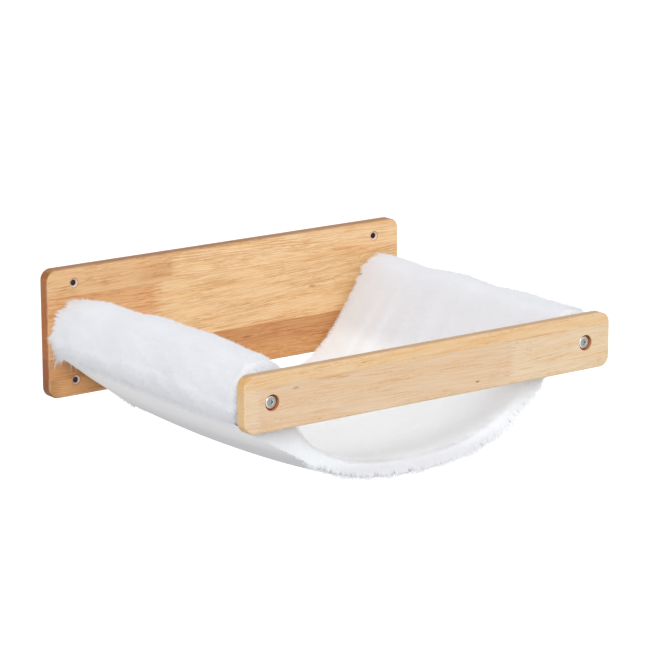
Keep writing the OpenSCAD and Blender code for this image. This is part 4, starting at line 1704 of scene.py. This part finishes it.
@functools.cache
def lining_sides():
    """Upper and lower side of the lining as grids of points, and its length from seam to seam."""
    depth = np.linspace(LINING_IN, CLOTH_LEN - LINING_IN, LINING_DEEP)
    shares = np.linspace(0, 1, LINING_ACROSS)
    rows = []
    for d in depth:
        points, ways, joined = lining_section(d / CLOTH_LEN)
        rows.append(spread(points, np.column_stack([points, ways, joined]), shares))
    grid = np.array(rows)
    section, out, joined = grid[..., 0:2], unit(grid[..., 2:4]), grid[..., 4]
    y = np.broadcast_to((CLOTH_BACK - depth)[:, None], joined.shape)
    x = section[..., 0]
    inside = rounded(np.minimum(depth - LINING_IN, CLOTH_LEN - LINING_IN - depth), 30)[:, None]
    long_folds = sum(high * lattice_noise(x, y, *cells) for high, *cells in LINING_FOLDS)
    drape = long_folds * (1 - joined) * np.sin(np.pi * shares) ** 0.2
    drape = (drape + 0.25 * long_folds * joined - 0.25) * inside
    lift = np.minimum(drape, 1 - joined)
    sides = []
    for offset in (lift, lift - LINING_T):
        line = section + offset[..., None] * out
        sides.append(np.stack([line[..., 0], y, line[..., 1]], -1))
    top, under = sides
    top[[0, -1]] = under[[0, -1]] = (top[[0, -1]] + under[[0, -1]]) / 2
    long = float(steps_along(section[LINING_DEEP // 2]).sum())
    return top, under, long


class HAMMOCK_OT_lining(bpy.types.Operator):
    """Build the knitted lining under the plush"""

    bl_idname = "hammock.lining"
    bl_label = "Lining"

    def execute(self, context):
        s = context.scene.hammock_lining
        top, under, long = lining_sides()
        inner = range(LINING_EVERY, LINING_DEEP - LINING_EVERY, LINING_EVERY)
        picked = [0, *inner, LINING_DEEP - 1]
        piece = laid_sheet("lining_knit", under, top, picked)
        material = cloth_material("grey_lining", tuple(s.colour), 0.1, True)
        dress(piece, material, "grey_lining", "lining_panel")
        return {"FINISHED"}


# Places along a stitch as a share of its length, and how far it stands out, in thread widths
STITCH = ((0.0, -0.45), (0.18, 0.15), (0.5, 0.35), (0.82, 0.15), (1.0, -0.45))
STITCH_SIDES = 6
# Column of the lining in from each seam, and distance from its ends
STITCH_COLUMN, STITCH_FROM = 3, 6.0


class HAMMOCK_OT_stitches(bpy.types.Operator):
    """Sew the lining along its two seams"""

    bl_idname = "hammock.stitches"
    bl_label = "Stitches"

    def execute(self, context):
        s = context.scene.hammock_lining
        top, under, _ = lining_sides()
        out = unit(under - top + 1e-9)
        step = (s.stitch_length + s.stitch_gap) / MM
        length, radius = s.stitch_length / MM, s.thread_width / 2 / MM
        turn = 2 * np.pi * np.arange(STITCH_SIDES) / STITCH_SIDES
        points, faces = [], []
        for column in (STITCH_COLUMN, LINING_ACROSS - 1 - STITCH_COLUMN):
            line, away = under[:, column], out[:, column]
            run = summed(steps_along(line))
            for start in np.arange(STITCH_FROM, run[-1] - STITCH_FROM - length, step):
                first = len(points)
                for share, rise in STITCH:
                    at = start + share * length
                    spot = np.array([np.interp(at, run, line[:, k]) for k in range(3)])
                    up = unit(np.array([np.interp(at, run, away[:, k]) for k in range(3)]))
                    side = unit(np.cross(up, np.array([0.0, 1.0, 0.0])))
                    middle = spot + 2 * radius * rise * up
                    for a in turn:
                        points.append(middle + radius * (np.cos(a) * up + np.sin(a) * side))
                faces += (bridge(len(STITCH), STITCH_SIDES) + first).tolist()
                faces.append([first + k for k in reversed(range(STITCH_SIDES))])
                faces.append([len(points) - STITCH_SIDES + k for k in range(STITCH_SIDES)])
        piece = finished_mesh("lining_stitches", points, faces, loose_corners=True)
        turn_faces_out(piece)
        piece.parent = bpy.data.objects["lining_knit"]
        material, graph, shader, place = new_material("thread")
        mottle = graph.group(soft_mottle(), Vector=place, Size=2.0)
        colour = tuple(s.thread_colour)
        tone = graph.mixed(mottle["Fine"], colour, dimmed(colour, 0.9))
        graph.set_shader(shader, Base_Color=tone, Roughness=0.8, Specular_IOR_Level=0.2)
        dress(piece, material, "grey_lining")
        return {"FINISHED"}


# Stage

FLOOR_HALF, FLOOR_GLOW = 60.0, 0.4
# Turn and height of the fill light, and the angle that it fills, in degrees
FILL_PLACE = (25, 25, 18)
# Place of the camera in metres, and its turns in degrees
CAMERA_PLACE = (-1.5965, -2.3403, 0.6635)
CAMERA_TURNS = ((-36.214, "Z"), (90 - 13.551, "X"), (-0.208, "Z"))


class HAMMOCK_OT_stage(bpy.types.Operator):
    """Set up the floor, the light and the camera"""

    bl_idname = "hammock.stage"
    bl_label = "Stage"

    def execute(self, context):
        scene, s = context.scene, context.scene.hammock_stage
        scene.view_settings.view_transform = "Standard"

        mesh = bpy.data.meshes.new("floor")
        corners = [(-1, -1), (1, -1), (1, 1), (-1, 1)]
        corners = [(x * FLOOR_HALF, y * FLOOR_HALF, -s.floor_drop) for x, y in corners]
        mesh.from_pydata(corners, [], [(0, 1, 2, 3)])
        floor = bpy.data.objects.new("floor", mesh)
        scene.collection.objects.link(floor)
        material = bpy.data.materials.new("floor_paint")
        material.use_nodes = True
        graph = Graph(material.node_tree)
        shader = material.node_tree.nodes["Principled BSDF"]
        output = material.node_tree.nodes["Material Output"]
        graph.set_shader(
            shader,
            Base_Color=tuple(s.floor_colour),
            Roughness=0.9,
            Specular_IOR_Level=0.1,
            Emission_Color=(1.0, 1.0, 1.0),
        )
        rays = graph.node("LightPath").outputs
        seen = graph.maths("MAXIMUM", rays["Is Camera Ray"], rays["Is Glossy Ray"])
        lift = graph.times(seen, FLOOR_GLOW)
        graph.tree.links.new(lift, shader.inputs["Emission Strength"])
        below = graph.node("NewGeometry").outputs["Backfacing"]
        clear = graph.node("BsdfTransparent").outputs[0]
        mix = graph.node("MixShader", {0: below, 1: shader.outputs[0], 2: clear})
        graph.tree.links.new(mix.outputs[0], output.inputs["Surface"])
        mesh.materials.append(material)

        world = bpy.data.worlds.new("soft_sky")
        scene.world = world
        world.use_nodes = True
        graph = Graph(world.node_tree)
        world.node_tree.nodes.clear()
        rays = graph.node("LightPath").outputs
        shown = graph.maths(
            "MAXIMUM",
            rays["Is Camera Ray"],
            graph.maths("MAXIMUM", rays["Is Glossy Ray"], rays["Is Transmission Ray"]),
        )
        level = graph.stepped(shown, 0.0, 1.0, s.sky_level, 1.0)
        sky = graph.node("Background", {"Color": (1.0, 1.0, 1.0), "Strength": level})
        output = graph.node("OutputWorld", {"Surface": sky.outputs[0]})
        output.is_active_output = True

        for name, level, turn, height, angle in (
            ("key", s.key_level, s.key_turn, s.key_height, s.key_spread),
            ("fill", s.fill_level, *map(math.radians, FILL_PLACE)),
        ):
            lamp = bpy.data.lights.new(name, "SUN")
            lamp.energy = level
            lamp.angle = angle
            light = bpy.data.objects.new(name, lamp)
            scene.collection.objects.link(light)
            flat = math.cos(height)
            towards = (-math.sin(turn) * flat, -math.cos(turn) * flat, math.sin(height))
            light.rotation_euler = Vector(towards).to_track_quat("Z", "Y").to_euler()

        camera = bpy.data.cameras.new("camera")
        camera.lens = s.lens
        camera.sensor_width = 36.0
        camera.clip_start, camera.clip_end = 0.1, 200.0
        view = bpy.data.objects.new("camera", camera)
        scene.collection.objects.link(view)
        placed = Matrix.Translation(CAMERA_PLACE)
        for degrees, axis in CAMERA_TURNS:
            placed = placed @ Matrix.Rotation(math.radians(degrees), 4, axis)
        view.matrix_world = placed
        scene.camera = view
        return {"FINISHED"}


class HAMMOCK_PT_parts(bpy.types.Panel):
    """Lists the steps that build the hammock, each with its settings"""

    bl_idname = "HAMMOCK_PT_parts"
    bl_label = "Wall Hammock"
    bl_space_type = "VIEW_3D"
    bl_region_type = "UI"
    bl_category = "Hammock"

    def draw(self, context):
        for operators, name, _ in STEPS:
            box = self.layout.box()
            for operator in operators:
                box.operator(operator)
            settings = getattr(context.scene, name)
            for key in settings.__annotations__:
                box.prop(settings, key)


# The steps in the order of the panel, and the settings that they use
STEPS = (
    (("hammock.stage",), "hammock_stage", HammockStageSettings),
    (("hammock.boards", "hammock.rods"), "hammock_boards", HammockBoardSettings),
    (("hammock.bolts",), "hammock_bolts", HammockBoltSettings),
    (("hammock.plush", "hammock.pile"), "hammock_plush", HammockPlushSettings),
    (("hammock.lining", "hammock.stitches"), "hammock_lining", HammockLiningSettings),
)
CLASSES = (
    *(kind for _, _, kind in STEPS),
    HAMMOCK_OT_stage,
    HAMMOCK_OT_boards,
    HAMMOCK_OT_rods,
    HAMMOCK_OT_bolts,
    HAMMOCK_OT_plush,
    HAMMOCK_OT_pile,
    HAMMOCK_OT_lining,
    HAMMOCK_OT_stitches,
    HAMMOCK_PT_parts,
)


def register():
    """Adds the classes and the scene's settings."""
    for kind in CLASSES:
        bpy.utils.register_class(kind)
    for _, name, kind in STEPS:
        setattr(bpy.types.Scene, name, PointerProperty(type=kind))


def unregister():
    """Takes the settings and the classes away again."""
    for _, name, _ in STEPS:
        delattr(bpy.types.Scene, name)
    for kind in reversed(CLASSES):
        bpy.utils.unregister_class(kind)


def main():
    register()
    bpy.ops.hammock.stage()
    bpy.ops.hammock.boards()
    bpy.ops.hammock.rods()
    bpy.ops.hammock.bolts()
    bpy.ops.hammock.plush()
    bpy.ops.hammock.pile()
    bpy.ops.hammock.lining()
    bpy.ops.hammock.stitches()


if __name__ == "__main__":
    main()
